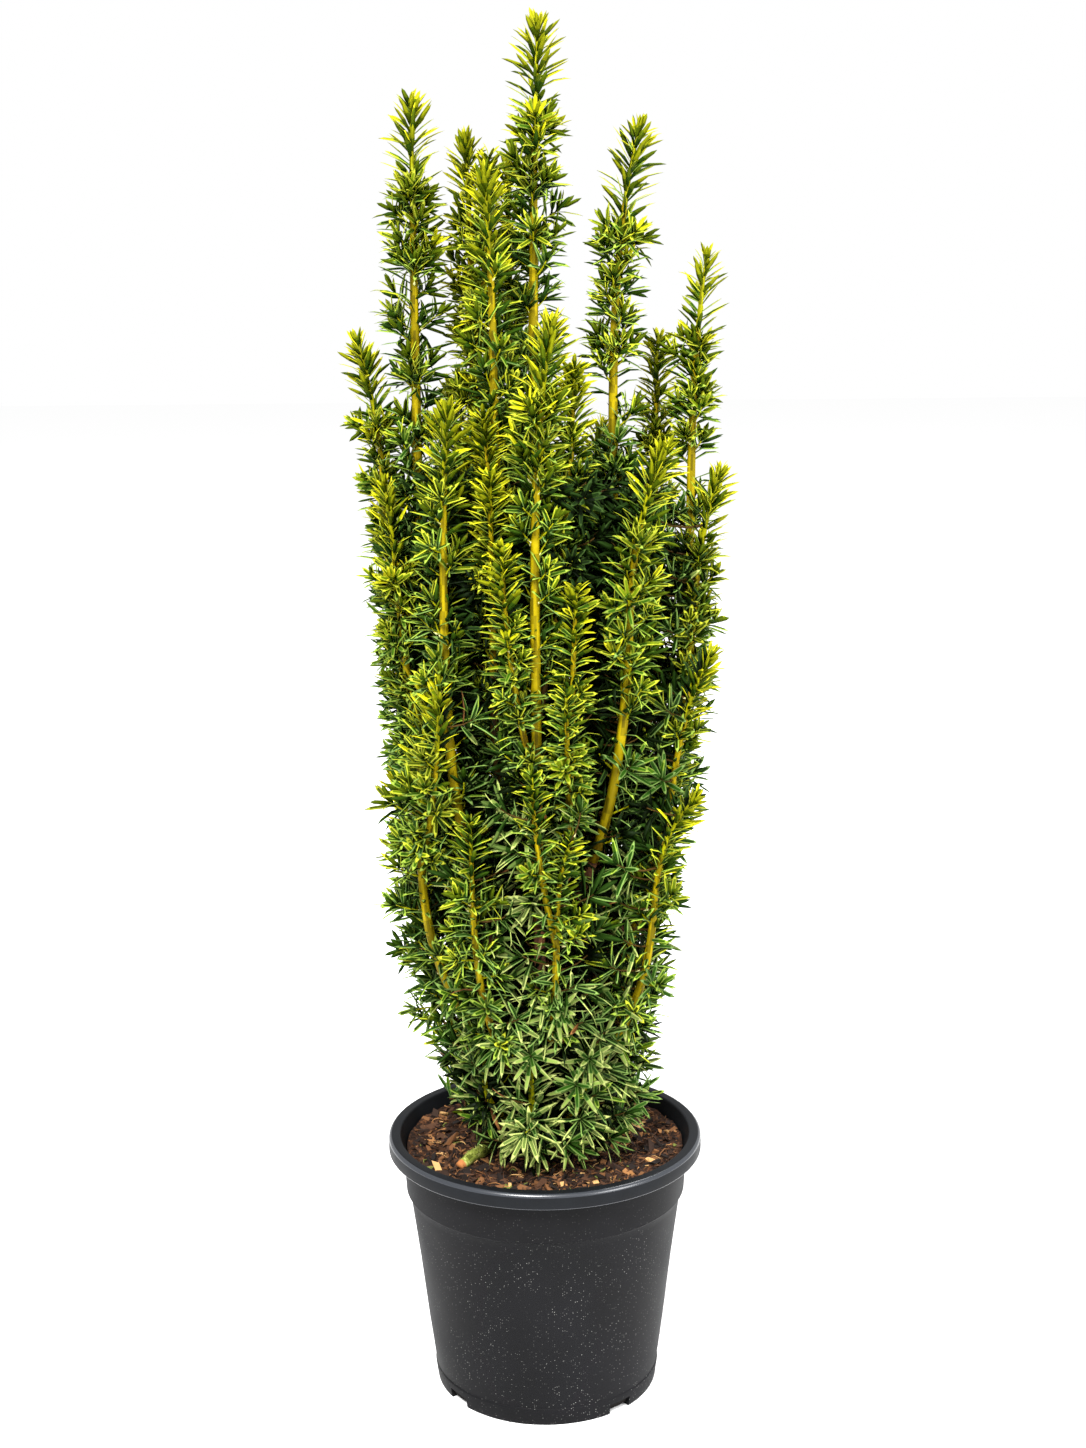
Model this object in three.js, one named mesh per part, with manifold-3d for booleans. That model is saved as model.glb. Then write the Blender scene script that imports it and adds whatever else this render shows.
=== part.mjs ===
// A golden-margined, columnar English yew growing in a ten-litre plastic nursery pot.
// Millimetres, +Z up. The origin is the centre of the pot's flat underside, -Y is the plant's front and +X its right.
//
// The trunk stands in the pot's soil and runs up the middle. Boughs leave it at different heights, sweep outwards
// and turn upright. Each bough carries one leader: a mass of foliage round a stem. Short leaders and the skirt of
// foliage round the foot grow straight from the trunk.

import * as THREE from 'three';
import { mergeVertices } from 'three/addons/utils/BufferGeometryUtils.js';
import Module from 'manifold-3d';

const wasm = await Module();
wasm.setup();

// ---- Driving dimensions ----------------------------------------------------------------------------------------

const GAP = 0.3; // clear space between pieces that touch
const CLEARANCE = 1.5; // least space between foliage and the limbs it passes

const POT_HEIGHT = 235;
const POT_RIM_RADIUS = 140;
const POT_FOOT_RADIUS = 100;
const POT_WALL = 2.5;
const POT_SEGMENTS = 36;
const LIP_BOTTOM = 221;
const LIP_WIDTH = 11;
const BAND_BOTTOM = 184; // the wall's wider band runs from the lip down to here, then a chamfer brings it in
const BAND_TOP_RADIUS = 127;
const BAND_BOTTOM_RADIUS = 125;
const CHAMFER_BOTTOM = 177;
const WALL_TOP_RADIUS = 121;
const WALL_FOOT_RADIUS = 102;
const FOOT_TOP = 16; // a small step round the wall above the foot
const EDGE_ROUND = 2; // the small roundings of the lip, and of the step above the foot
const DRAIN_WIDTH = 23;
const DRAIN_HEIGHT = 10;
const DRAIN_DEPTH = 20; // how far a drain notch runs in under the pot
const DRAIN_BEARINGS = [40, 130, 220, 308]; // degrees anticlockwise from the front, seen from above

const SOIL_TOP = 216; // level at the trunk
const SOIL_FALL = 3; // how much lower the soil lies at the pot's wall

const TRUNK_FLARE_RADIUS = 24;
const TRUNK_FLARE_HEIGHT = 12; // the flare shrinks to about a third over this height
const TRUNK_RADIUS = 15; // above the root flare
const TRUNK_TIP_RADIUS = 6;
const TRUNK_TOP = 760;
const TRUNK_LEAN = [-4, 5]; // how far over (x, y) the trunk stands at its tip
const TRUNK_SIDES = 8;

const CENTRE_TOP = 1192; // the leader that carries the trunk on: height of its tip
const CENTRE_LEAN = 7; // how far its tip leans back to the right
const CENTRE_REACH = 33;

const BOUGH_ROOT_RADIUS = 6.2;
const BOUGH_TIP_RADIUS = 4.2;
const BOUGH_SIDES = 5;

const LIMB_STEP = 45; // length of one straight piece of a bough or stem
const TALL_RISE = 3.6; // height a tall leader needs to come fully out, for each mm it stands out from the trunk
const SHORT_RISE = 2.3; // the same for the short leaders ...
const SKIRT_RISE = 1.1; // ... and for the low, wide-growing skirt
const HOOK = 0.4; // share of a leader's height over which its tip leans away
const BOUGH_SHARE = 0.22; // share of a leader's height that is bare bough below the foliage

const CORE_SHARE = 0.5; // radius of the dense core over the reach of the needles
const CORE_SIDES = 5;
const CORE_STEP = 38; // length of core between two rings of sprays
const CORE_LEAST = 3; // a stem's least radius
const CORE_SWELL = 60; // length over which a bare stem widens to the full core
const BUMP_DEPTH = 0.1; // the core swells and narrows by this share of its radius ...
const BUMP_LENGTH = 140; // ... once every so far along the stem
const SPACE_SHARE = 0.45; // a core takes less than half the way to the next mass
const SPINE_STEP = 6; // spacing of the points along a stem that distances are measured from
const TUFT_LENGTH = 70; // the golden tip of a leader, where needles stand steeply
const TIP_RISE = 14; // the topmost needles stand this far above the stem's tip

const SPRAY_BARE_START = 15; // no sprays on this first length of a stem
const SPRAY_LEAST_CORE = 4.5; // thinner stretches of core are bare stem
const SPRAY_TIP_SHARE = 0.62; // reach of the topmost sprays, as a share of the reach below the tuft
const SPRAY_TIP_SLOPE = 1.5; // how far a spray rises for each mm it reaches out, at a leader's tip ...
const SPRAY_BASE_SLOPE = 0.65; // ... and below its tuft
const SPRAY_REACH = [0.92, 1.14]; // least and greatest reach of a spray, as a share of the mass's reach

const NEEDLE_RADIUS = 3.4; // thickness of one of the long needles that stand out between the sprays
const NEEDLE_SIDES = 3;
const NEEDLE_FIRST = 8; // distance of the topmost needle's root below the tip ...
const NEEDLE_SPREAD = 1.7; // ... and how many times further down each next one is rooted
const GOLDEN_ANGLE = 137.5;
const SEED_STEP = 1009; // the masses' seeds lie this far apart, so that no two start alike

// name, plan position of the upright part (x, y), height of the tip, lean of the tip (x, y), reach of the needles,
// height at which the limb leaves the trunk
const TALL_LEADERS = [
  ['left_tall', -102, 5, 1133, 1, 0, 32, 470],
  ['left_inner', -36, -30, 1075, -6, 0, 30, 440],
  ['left_inner_back', -55, 45, 1108, -5, 10, 28, 405],
  ['right_tall', 63, 20, 1113, 25, 0, 32, 415],
  ['right_outer', 131, 45, 1010, 14, 0, 29, 350],
  ['right_back', 102, 78, 945, 3, 5, 24, 380],
  ['left_outer', -130, 20, 944, -26, 0, 26, 360],
  ['centre_front', -4, -100, 958, 18, 0, 32, 305],
  ['left_front', -78, -85, 890, 7, 0, 32, 330],
  ['centre_left', -39, -62, 886, -7, 12, 24, 410],
  ['left_side', -119, -30, 827, -11, 0, 27, 385],
  ['right_front', 73, -80, 857, 37, 0, 32, 395],
  ['right_side', 130, 0, 832, 27, 0, 29, 320],
  ['right_low', 118, -46, 688, 32, -4, 25, 290],
  ['front_right', 26, -106, 753, 5, 0, 22, 365],
  ['back_centre', -24, 60, 1087, 0, 0, 29, 435],
  ['back_far', -15, 122, 830, 0, 10, 30, 305],
  ['back_right', 48, 115, 865, 10, 8, 30, 330],
  ['back_left', -70, 105, 900, -10, 8, 30, 345],
  ['left_back', -116, 64, 780, -18, 8, 29, 285],
];

// the same for leaders that grow straight from the trunk
const SHORT_LEADERS = [
  ['right_bottom', 95, -68, 571, 47, -8, 27, 255],
  ['front_low', 12, -115, 548, 18, -5, 24, 285],
  ['left_low', -103, -60, 670, 24, 0, 31, 275],
  ['front_left_low', -58, -103, 562, -1, -2, 24, 255],
  ['back_low_left', -92, 78, 600, -14, 12, 29, 270],
  ['back_low', 8, 118, 550, 2, 14, 29, 260],
  ['back_low_right', 84, 84, 620, 16, 12, 29, 275],
  ['left_low_back', -114, 8, 575, -18, 0, 27, 245],
];

// owner, height at which the side shoot leaves the leader's stem, its tip (x, y, z), reach
const SIDE_SHOOTS = [
  ['left_inner_back', 910, -39, 18, 1094, 24],
  ['centre_front', 620, 29, -56, 925, 24],
  ['centre_front', 570, -30, -113, 785, 22],
  ['centre_left', 720, -39, -90, 842, 22],
  ['front_right', 560, 20, -127, 672, 20],
  ['front_low', 440, -8, -124, 606, 20],
];

// the skirt's masses: bearing in degrees from +X, and the height at which the stem leaves the trunk
const SKIRT = [[5, 240], [65, 230], [113, 240], [158, 225], [222, 235], [261, 225], [300, 240]];
const SKIRT_RADIUS = 70;
const SKIRT_TOP = 350;
const SKIRT_LEAN = 8;
const SKIRT_REACH = 38;
const SKIRT_CORE_SHARE = 0.55;

// ---- Colours and finishes --------------------------------------------------------------------------------------

const potPlastic = new THREE.MeshStandardMaterial({ color: 0x3a3b3e, roughness: 0.55, metalness: 0 });
const soilBrown = new THREE.MeshStandardMaterial({ color: 0x3d2719, roughness: 0.95, metalness: 0 });
const bark = new THREE.MeshStandardMaterial({ color: 0x6a4a30, roughness: 0.9, metalness: 0 });
const needleGreen = new THREE.MeshStandardMaterial({ color: 0x4d6b22, roughness: 0.5, metalness: 0 });
const needleGold = new THREE.MeshStandardMaterial({ color: 0xa9b02c, roughness: 0.5, metalness: 0 });

// ---- Solids ----------------------------------------------------------------------------------------------------

const MERGED = 1e-4; // vertices closer together than this are one

/** Turns a closed three.js geometry into a solid, without the seams and the flat faces at its poles. */
function toSolid(geometry) {
  const bare = geometry.clone();
  bare.deleteAttribute('normal');
  bare.deleteAttribute('uv');
  const merged = mergeVertices(bare, MERGED);
  const triangles = [];
  const index = merged.index.array;
  for (let i = 0; i < index.length; i += 3) {
    const [a, b, c] = [index[i], index[i + 1], index[i + 2]];
    if (a !== b && b !== c && c !== a) triangles.push(a, b, c);
  }
  return new wasm.Manifold(new wasm.Mesh({
    numProp: 3,
    vertProperties: new Float32Array(merged.attributes.position.array),
    triVerts: new Uint32Array(triangles),
  }));
}

/** Turns a solid back into a geometry: its largest body only, so loose scraps and sealed hollows are left out. */
function toGeometry(solid) {
  const body = solid.decompose().reduce((best, piece) => (piece.volume() > best.volume() ? piece : best));
  const mesh = body.getMesh();
  const geometry = new THREE.BufferGeometry();
  geometry.setAttribute('position', new THREE.BufferAttribute(new Float32Array(mesh.vertProperties), 3));
  geometry.setIndex(new THREE.BufferAttribute(new Uint32Array(mesh.triVerts), 1));
  geometry.computeVertexNormals();
  return geometry;
}

/** Repeatable random numbers from 0 to 1. */
function seeded(seed) {
  let state = seed;
  return () => {
    state = (state * 1664525 + 1013904223) % 4294967296;
    return state / 4294967296;
  };
}

const clamp01 = (value) => Math.min(Math.max(value, 0), 1);
const radians = THREE.MathUtils.degToRad;

/**
 * A round tube along a line of points, closed at both ends. It is a lathed profile bent along the curve, with its
 * rings square to it, a step apart, each turned half a side against the last. radiusAt(share) is its radius at that
 * share of its length. Where tipAt(share, outward, along, centre, facet) gives a point, the facet is drawn out to it.
 */
function taperedTube(points, radiusAt, sides, step, tipAt = () => null) {
  const curve = new THREE.CatmullRomCurve3(points);
  const rings = Math.max(2, Math.round(curve.getLength() / step));
  const profile = [new THREE.Vector2(0, 0)];
  for (let i = 0; i <= rings; i++) profile.push(new THREE.Vector2(radiusAt(i / rings), i / rings));
  if (profile.at(-1).x > 0) profile.push(new THREE.Vector2(0, 1));
  const tube = new THREE.LatheGeometry(profile, sides);

  const reach = new THREE.Vector3().subVectors(points.at(-1), points[0]).setZ(0);
  const sideways = reach.length() > 1 ? new THREE.Vector3(-reach.y, reach.x, 0) : new THREE.Vector3(1, 0, 0);
  const flat = tube.attributes.position;
  const bend = (vertex) => {
    const share = flat.getY(vertex);
    const along = curve.getTangentAt(share);
    const across = sideways.clone().addScaledVector(along, -sideways.dot(along)).normalize();
    const third = new THREE.Vector3().crossVectors(across, along);
    const turn = (share * rings * Math.PI) / sides;
    const x = flat.getX(vertex) * Math.cos(turn) + flat.getZ(vertex) * Math.sin(turn);
    const z = flat.getZ(vertex) * Math.cos(turn) - flat.getX(vertex) * Math.sin(turn);
    return curve.getPointAt(share).addScaledVector(across, x).addScaledVector(third, z);
  };
  const vertices = Array.from({ length: flat.count }, (_, vertex) => bend(vertex));

  const corners = [];
  for (let i = 0; i < tube.index.count; i += 3) {
    const facet = [0, 1, 2].map((k) => tube.index.getX(i + k));
    const [a, b, c] = facet.map((vertex) => vertices[vertex]);
    if (Math.min(a.distanceTo(b), b.distanceTo(c), c.distanceTo(a)) < MERGED) continue;
    const share = facet.reduce((sum, vertex) => sum + flat.getY(vertex), 0) / 3;
    const isEnd = [0, 1].some((end) => facet.every((vertex) => flat.getY(vertex) === end));
    const along = curve.getTangentAt(share);
    const centre = curve.getPointAt(share);
    const outward = new THREE.Vector3().add(a).add(b).add(c).divideScalar(3).sub(centre);
    outward.addScaledVector(along, -outward.dot(along)).normalize();
    const tip = isEnd ? null : tipAt(share, outward, along, centre, [a, b, c]);
    corners.push(...(tip ? [a, b, tip, b, c, tip, c, a, tip] : [a, b, c]));
  }
  return toSolid(new THREE.BufferGeometry().setFromPoints(corners));
}

// ---- Where the limbs run ---------------------------------------------------------------------------------------

/** The trunk's centre at height z: upright at the soil, easing over to its lean. */
function trunkAxis(z) {
  const share = clamp01((z - SOIL_TOP) / (TRUNK_TOP - SOIL_TOP));
  const ease = share * share * (3 - 2 * share);
  return new THREE.Vector3(TRUNK_LEAN[0] * ease, TRUNK_LEAN[1] * ease, z);
}

/** The trunk's radius at height z: a root flare that dies away, then an even taper. */
function trunkRadius(z) {
  const flare = (TRUNK_FLARE_RADIUS - TRUNK_RADIUS) * Math.exp(-(z - SOIL_TOP) / TRUNK_FLARE_HEIGHT);
  const share = clamp01((z - SOIL_TOP) / (TRUNK_TOP - SOIL_TOP));
  return flare + THREE.MathUtils.lerp(TRUNK_RADIUS, TRUNK_TIP_RADIUS, share);
}

/** A limb's centre at height z: out from the trunk along a curve that turns upright, then over to the tip's lean. */
function limbAxis(limb, z) {
  const start = trunkAxis(limb.fork);
  const rise = limb.rise * Math.hypot(limb.x, limb.y);
  const out = 1 - (1 - clamp01((z - limb.fork) / rise)) ** 3;
  const hook = HOOK * (limb.top - limb.fork);
  const lean = clamp01((z - limb.top + hook) / hook) ** 3;
  return new THREE.Vector3(
    start.x * (1 - out) + limb.x * out + limb.leanX * lean,
    start.y * (1 - out) + limb.y * out + limb.leanY * lean,
    z,
  );
}

/** Points every LIMB_STEP or so along axis(z), from one height to another. */
function pointsBetween(axis, low, high) {
  const count = Math.max(3, Math.round((high - low) / LIMB_STEP));
  return Array.from({ length: count + 1 }, (_, i) => axis(low + ((high - low) * i) / count));
}

/** A side shoot's centre at height z: it swings out of its owner's stem and turns upright. */
function shootAxis(owner, shoot, z) {
  const share = clamp01((z - shoot.fork) / (shoot.tip.z - shoot.fork));
  const out = 1 - (1 - share) ** 2;
  const start = limbAxis(owner, shoot.fork);
  return new THREE.Vector3(
    THREE.MathUtils.lerp(start.x, shoot.tip.x, out),
    THREE.MathUtils.lerp(start.y, shoot.tip.y, out),
    z,
  );
}

function readRow([name, x, y, top, leanX, leanY, reach, fork]) {
  return { name, x, y, top, leanX, leanY, reach, fork, coreShare: CORE_SHARE };
}

const leaders = [...TALL_LEADERS, ...SHORT_LEADERS].map((row, i) => {
  const leader = readRow(row);
  leader.hasBough = i < TALL_LEADERS.length;
  leader.rise = leader.hasBough ? TALL_RISE : SHORT_RISE;
  leader.start = leader.hasBough ? leader.fork + BOUGH_SHARE * (leader.top - leader.fork) : leader.fork;
  return leader;
});

const skirt = SKIRT.map(([degrees, fork], i) => {
  const bearing = radians(degrees);
  return {
    name: `skirt_${i + 1}`,
    x: SKIRT_RADIUS * Math.cos(bearing),
    y: SKIRT_RADIUS * Math.sin(bearing),
    top: SKIRT_TOP,
    leanX: SKIRT_LEAN * Math.cos(bearing),
    leanY: SKIRT_LEAN * Math.sin(bearing),
    reach: SKIRT_REACH,
    fork,
    start: fork,
    hasBough: false,
    rise: SKIRT_RISE,
    coreShare: SKIRT_CORE_SHARE,
  };
});

/** The stems of one mass: points from the first foliage to just below the tip, with the needles' reach there. */
function stemsOf(limb) {
  const high = limb.top - TIP_RISE;
  const main = { points: pointsBetween((z) => limbAxis(limb, z), limb.start, high), reach: limb.reach };
  const side = SIDE_SHOOTS.filter(([owner]) => owner === limb.name).map(([, fork, x, y, z, reach]) => {
    const shoot = { fork, tip: new THREE.Vector3(x, y, z) };
    return { points: pointsBetween((h) => shootAxis(limb, shoot, h), fork, z - TIP_RISE), reach };
  });
  return [main, ...side];
}

/** The centre leader's centre at height z: it carries the trunk on, and its tip leans back. */
function centreAxis(z) {
  const lean = CENTRE_LEAN * clamp01((z - TRUNK_TOP) / (CENTRE_TOP - TRUNK_TOP)) ** 3;
  return trunkAxis(TRUNK_TOP).add(new THREE.Vector3(lean, 0, z - TRUNK_TOP));
}

const centreMass = {
  name: 'centre_leader',
  coreShare: CORE_SHARE,
  stems: [{ points: pointsBetween(centreAxis, TRUNK_TOP, CENTRE_TOP - TIP_RISE), reach: CENTRE_REACH }],
};

const masses = [
  centreMass,
  ...[...leaders, ...skirt].map((limb) => ({ ...limb, stems: stemsOf(limb) })),
];

// ---- Space ------------------------------------------------------------------------------------------------------

/** Evenly spaced points on a line of points, close enough together to measure distances from. */
function finePoints(points) {
  const curve = new THREE.CatmullRomCurve3(points);
  return curve.getSpacedPoints(Math.ceil(curve.getLength() / SPINE_STEP));
}

for (const mass of masses) mass.spine = mass.stems.flatMap((stem) => finePoints(stem.points));

const limbs = leaders.filter((leader) => leader.hasBough).map((leader) => ({
  name: leader.name,
  points: pointsBetween((z) => limbAxis(leader, z), leader.fork, leader.start),
}));
for (const limb of limbs) limb.spine = finePoints(limb.points);

const nearest = (point, spine) => spine.reduce((least, other) => Math.min(least, point.distanceTo(other)), Infinity);

/** How far a point is from the nearest other mass's stems. */
function distanceToOthers(point, mass) {
  return masses.reduce((least, other) => (other === mass ? least : Math.min(least, nearest(point, other.spine))),
    Infinity);
}

/** How much room a point has to the surface of the trunk and of every bough but the mass's own. */
function roomToLimbs(point, mass, withOwn) {
  let room = Infinity;
  for (const limb of limbs) {
    if (limb.name === mass.name && !withOwn) continue;
    room = Math.min(room, nearest(point, limb.spine) - BOUGH_ROOT_RADIUS);
  }
  if (point.z < TRUNK_TOP) {
    const centre = trunkAxis(point.z);
    room = Math.min(room, Math.hypot(point.x - centre.x, point.y - centre.y) - trunkRadius(point.z));
  }
  return room;
}

// ---- Foliage ----------------------------------------------------------------------------------------------------

/** A core's radius so far up a stem: bare stem, swelling to the full core in soft bumps, then to a point. */
function coreRadius(height, length, fullRadius, room) {
  const swell = clamp01(height / CORE_SWELL);
  const tuft = clamp01((length - height) / TUFT_LENGTH);
  const bumps = 1 - BUMP_DEPTH + BUMP_DEPTH * Math.cos((2 * Math.PI * height) / BUMP_LENGTH);
  return height === length ? 0 : Math.max(CORE_LEAST, Math.min(fullRadius * swell * Math.sqrt(tuft) * bumps, room));
}

/** A slender needle from its root, deep in the core, to its tip. */
function needle(root, tip) {
  const length = root.distanceTo(tip);
  const cone = new THREE.ConeGeometry(NEEDLE_RADIUS, length, NEEDLE_SIDES);
  cone.translate(0, length / 2, 0);
  const direction = new THREE.Vector3().subVectors(tip, root).normalize();
  cone.applyQuaternion(new THREE.Quaternion().setFromUnitVectors(new THREE.Vector3(0, 1, 0), direction));
  cone.translate(root.x, root.y, root.z);
  return toSolid(cone);
}

/** One stem of a mass: a core with every facet drawn out into a spray where it fits, and needles between them. */
function stemFoliage(stem, mass, random) {
  const curve = new THREE.CatmullRomCurve3(stem.points);
  const length = curve.getLength();
  const fullRadius = stem.reach * mass.coreShare;

  const radiusAt = (share) => {
    const point = curve.getPointAt(share);
    const toLimbs = roomToLimbs(point, mass, false) - CLEARANCE;
    const room = Math.min(SPACE_SHARE * distanceToOthers(point, mass), toLimbs);
    return coreRadius(share * length, length, fullRadius, room);
  };

  /** Where what grows out of the core at a share of the stem ends: steep in the tuft and flatter below. */
  const endOf = (share, outward, along, centre) => {
    const belowTuft = clamp01(((1 - share) * length) / TUFT_LENGTH);
    const full = stem.reach * THREE.MathUtils.lerp(...SPRAY_REACH, random());
    const reach = full * THREE.MathUtils.lerp(SPRAY_TIP_SHARE, 1, belowTuft);
    const slope = THREE.MathUtils.lerp(SPRAY_TIP_SLOPE, SPRAY_BASE_SLOPE, belowTuft);
    return centre.clone().addScaledVector(outward, reach).addScaledVector(along, slope * (reach - radiusAt(share)));
  };

  const sprayAt = (share, outward, along, centre, facet) => {
    const tip = endOf(share, outward, along, centre);
    const isInTuft = (1 - share) * length < TUFT_LENGTH;
    const isBare = share * length < SPRAY_BARE_START || (radiusAt(share) < SPRAY_LEAST_CORE && !isInTuft);
    return !isBare && facet.every((corner) => fits(corner, tip, mass)) ? tip : null;
  };
  let solid = taperedTube(stem.points, radiusAt, CORE_SIDES, CORE_STEP, sprayAt);

  let bearing = 360 * random();
  for (let below = NEEDLE_FIRST; below < length - CORE_SWELL; below *= NEEDLE_SPREAD) {
    bearing += GOLDEN_ANGLE;
    const share = 1 - below / length;
    const along = curve.getTangentAt(share);
    const outward = new THREE.Vector3(Math.cos(radians(bearing)), Math.sin(radians(bearing)), 0);
    outward.addScaledVector(along, -outward.dot(along)).normalize();
    const root = curve.getPointAt(share);
    const tip = endOf(share, outward, along, root);
    if (fits(root, tip, mass)) solid = solid.add(needle(root, tip));
  }
  return solid;
}

/** One mass: all its stems, fused. */
function foliage(mass, seed) {
  const random = seeded(seed);
  const stems = mass.stems.map((stem) => stemFoliage(stem, mass, random));
  return stems.reduce((whole, piece) => whole.add(piece));
}

/** Whether a spray keeps nearer to its own mass's stems than to any other, above the soil and clear of the limbs. */
function fits(root, tip, mass) {
  return [0.35, 0.7, 1].every((share) => {
    const point = root.clone().lerp(tip, share);
    return nearest(point, mass.spine) + 2 * CLEARANCE < distanceToOthers(point, mass)
      && roomToLimbs(point, mass, true) > CLEARANCE
      && point.z > SOIL_TOP + CLEARANCE;
  });
}

// ---- Trunk and boughs -------------------------------------------------------------------------------------------

const trunkPoints = [
  new THREE.Vector3(0, 0, SOIL_TOP + GAP),
  ...[6, 16, 34].map((up) => new THREE.Vector3(0, 0, SOIL_TOP + up)),
  ...pointsBetween(trunkAxis, SOIL_TOP + 90, TRUNK_TOP),
];

/** The trunk as a tube, made wider all round by some clearance. */
function trunkSolid(wider) {
  const length = TRUNK_TOP - SOIL_TOP - GAP;
  const radiusAt = (share) => trunkRadius(SOIL_TOP + GAP + share * length) + wider;
  return taperedTube(trunkPoints, radiusAt, TRUNK_SIDES, LIMB_STEP);
}

const trunk = trunkSolid(0);
const trunkSpace = trunkSolid(GAP);

/** One bough: a tapering limb from the trunk's side to the start of its leader's foliage, made wider if asked. */
function boughSolid(limb, wider = 0) {
  const tip = limb.points.at(-1);
  const onward = new THREE.Vector3().subVectors(tip, limb.points.at(-2)).setLength(wider);
  const points = wider > 0 ? [...limb.points.slice(0, -1), tip.clone().add(onward)] : limb.points;
  const radiusAt = (share) => THREE.MathUtils.lerp(BOUGH_ROOT_RADIUS, BOUGH_TIP_RADIUS, share) + wider;
  return taperedTube(points, radiusAt, BOUGH_SIDES, LIMB_STEP).subtract(trunkSpace);
}

// ---- Pot and soil -----------------------------------------------------------------------------------------------

/** The solid of revolution of a profile of (radius, height) points that starts and ends on the axis. */
function lathe(profile) {
  const geometry = new THREE.LatheGeometry(profile.map(([r, z]) => new THREE.Vector2(r, z)), POT_SEGMENTS);
  geometry.rotateX(Math.PI / 2);
  return toSolid(geometry);
}

/** The pot: a thin tapered wall on a flat base, with a wider band and a rolled lip whose outer side turns down. */
function potSolid() {
  const lipInner = POT_RIM_RADIUS - LIP_WIDTH;
  const lipHollow = POT_RIM_RADIUS - POT_WALL;
  const wall = lathe([
    [0, 0],
    [POT_FOOT_RADIUS - EDGE_ROUND, 0],
    [POT_FOOT_RADIUS, EDGE_ROUND],
    [WALL_FOOT_RADIUS - EDGE_ROUND / 2, FOOT_TOP - EDGE_ROUND / 2],
    [WALL_FOOT_RADIUS, FOOT_TOP],
    [WALL_TOP_RADIUS, CHAMFER_BOTTOM],
    [BAND_BOTTOM_RADIUS, BAND_BOTTOM],
    [BAND_TOP_RADIUS, LIP_BOTTOM],
    [BAND_TOP_RADIUS + EDGE_ROUND, POT_HEIGHT - POT_WALL],
    [lipHollow, POT_HEIGHT - POT_WALL - EDGE_ROUND / 2],
    [lipHollow, LIP_BOTTOM],
    [POT_RIM_RADIUS - EDGE_ROUND / 2, LIP_BOTTOM],
    [POT_RIM_RADIUS, LIP_BOTTOM + EDGE_ROUND],
    [POT_RIM_RADIUS, POT_HEIGHT - 2 * EDGE_ROUND],
    [POT_RIM_RADIUS - EDGE_ROUND, POT_HEIGHT - EDGE_ROUND / 2],
    [POT_RIM_RADIUS - 2 * EDGE_ROUND, POT_HEIGHT],
    [lipInner + EDGE_ROUND, POT_HEIGHT],
    [lipInner, POT_HEIGHT - EDGE_ROUND],
    [BAND_TOP_RADIUS - POT_WALL, LIP_BOTTOM],
    [BAND_BOTTOM_RADIUS - POT_WALL, BAND_BOTTOM],
    [WALL_TOP_RADIUS - POT_WALL, CHAMFER_BOTTOM],
    [WALL_FOOT_RADIUS - POT_WALL, FOOT_TOP],
    [POT_FOOT_RADIUS - POT_WALL - EDGE_ROUND / 2, POT_WALL],
    [0, POT_WALL],
  ]);
  return DRAIN_BEARINGS.reduce((solid, bearing) => {
    const notch = new THREE.BoxGeometry(DRAIN_WIDTH, 2 * DRAIN_DEPTH, 2 * DRAIN_HEIGHT);
    notch.translate(0, -POT_FOOT_RADIUS, 0);
    notch.rotateZ(radians(bearing));
    return solid.subtract(toSolid(notch));
  }, wall);
}

/** The soil: everything inside the pot, a gap clear of its wall, gently domed on top. */
function soilSolid() {
  const inside = POT_WALL + GAP;
  return lathe([
    [0, inside],
    [POT_FOOT_RADIUS - inside - EDGE_ROUND / 2, inside],
    [WALL_FOOT_RADIUS - inside, FOOT_TOP],
    [WALL_TOP_RADIUS - inside, CHAMFER_BOTTOM],
    [BAND_BOTTOM_RADIUS - inside, BAND_BOTTOM],
    [BAND_TOP_RADIUS - inside - GAP, SOIL_TOP - SOIL_FALL],
    [0.6 * BAND_TOP_RADIUS, SOIL_TOP - SOIL_FALL / 3],
    [TRUNK_FLARE_RADIUS + EDGE_ROUND, SOIL_TOP],
    [0, SOIL_TOP],
  ]);
}

// ---- The whole plant --------------------------------------------------------------------------------------------

const yew = new THREE.Group();

function addPiece(name, solid, material) {
  const mesh = new THREE.Mesh(toGeometry(solid), material);
  mesh.name = name;
  yew.add(mesh);
}

addPiece('pot', potSolid(), potPlastic);
addPiece('soil', soilSolid(), soilBrown);
addPiece('trunk', trunk, bark);
for (const limb of limbs) addPiece(`bough_${limb.name}`, boughSolid(limb), bark);
masses.forEach((mass, i) => {
  const bough = limbs.find((limb) => limb.name === mass.name);
  const cleared = foliage(mass, SEED_STEP * (i + 1)).subtract(bough ? boughSolid(bough, GAP) : trunkSpace);
  addPiece(mass.name, cleared, mass.coreShare === SKIRT_CORE_SHARE ? needleGreen : needleGold);
});

export default yew;
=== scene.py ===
"""A golden-margined, columnar English yew in a dark grey nursery pot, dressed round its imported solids.

Millimetres in the sums, metres in the meshes and the studio. +Z is up, -Y is the plant's front, +X its right.
"""

import bpy
import numpy as np
from mathutils import Matrix, Vector


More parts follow.
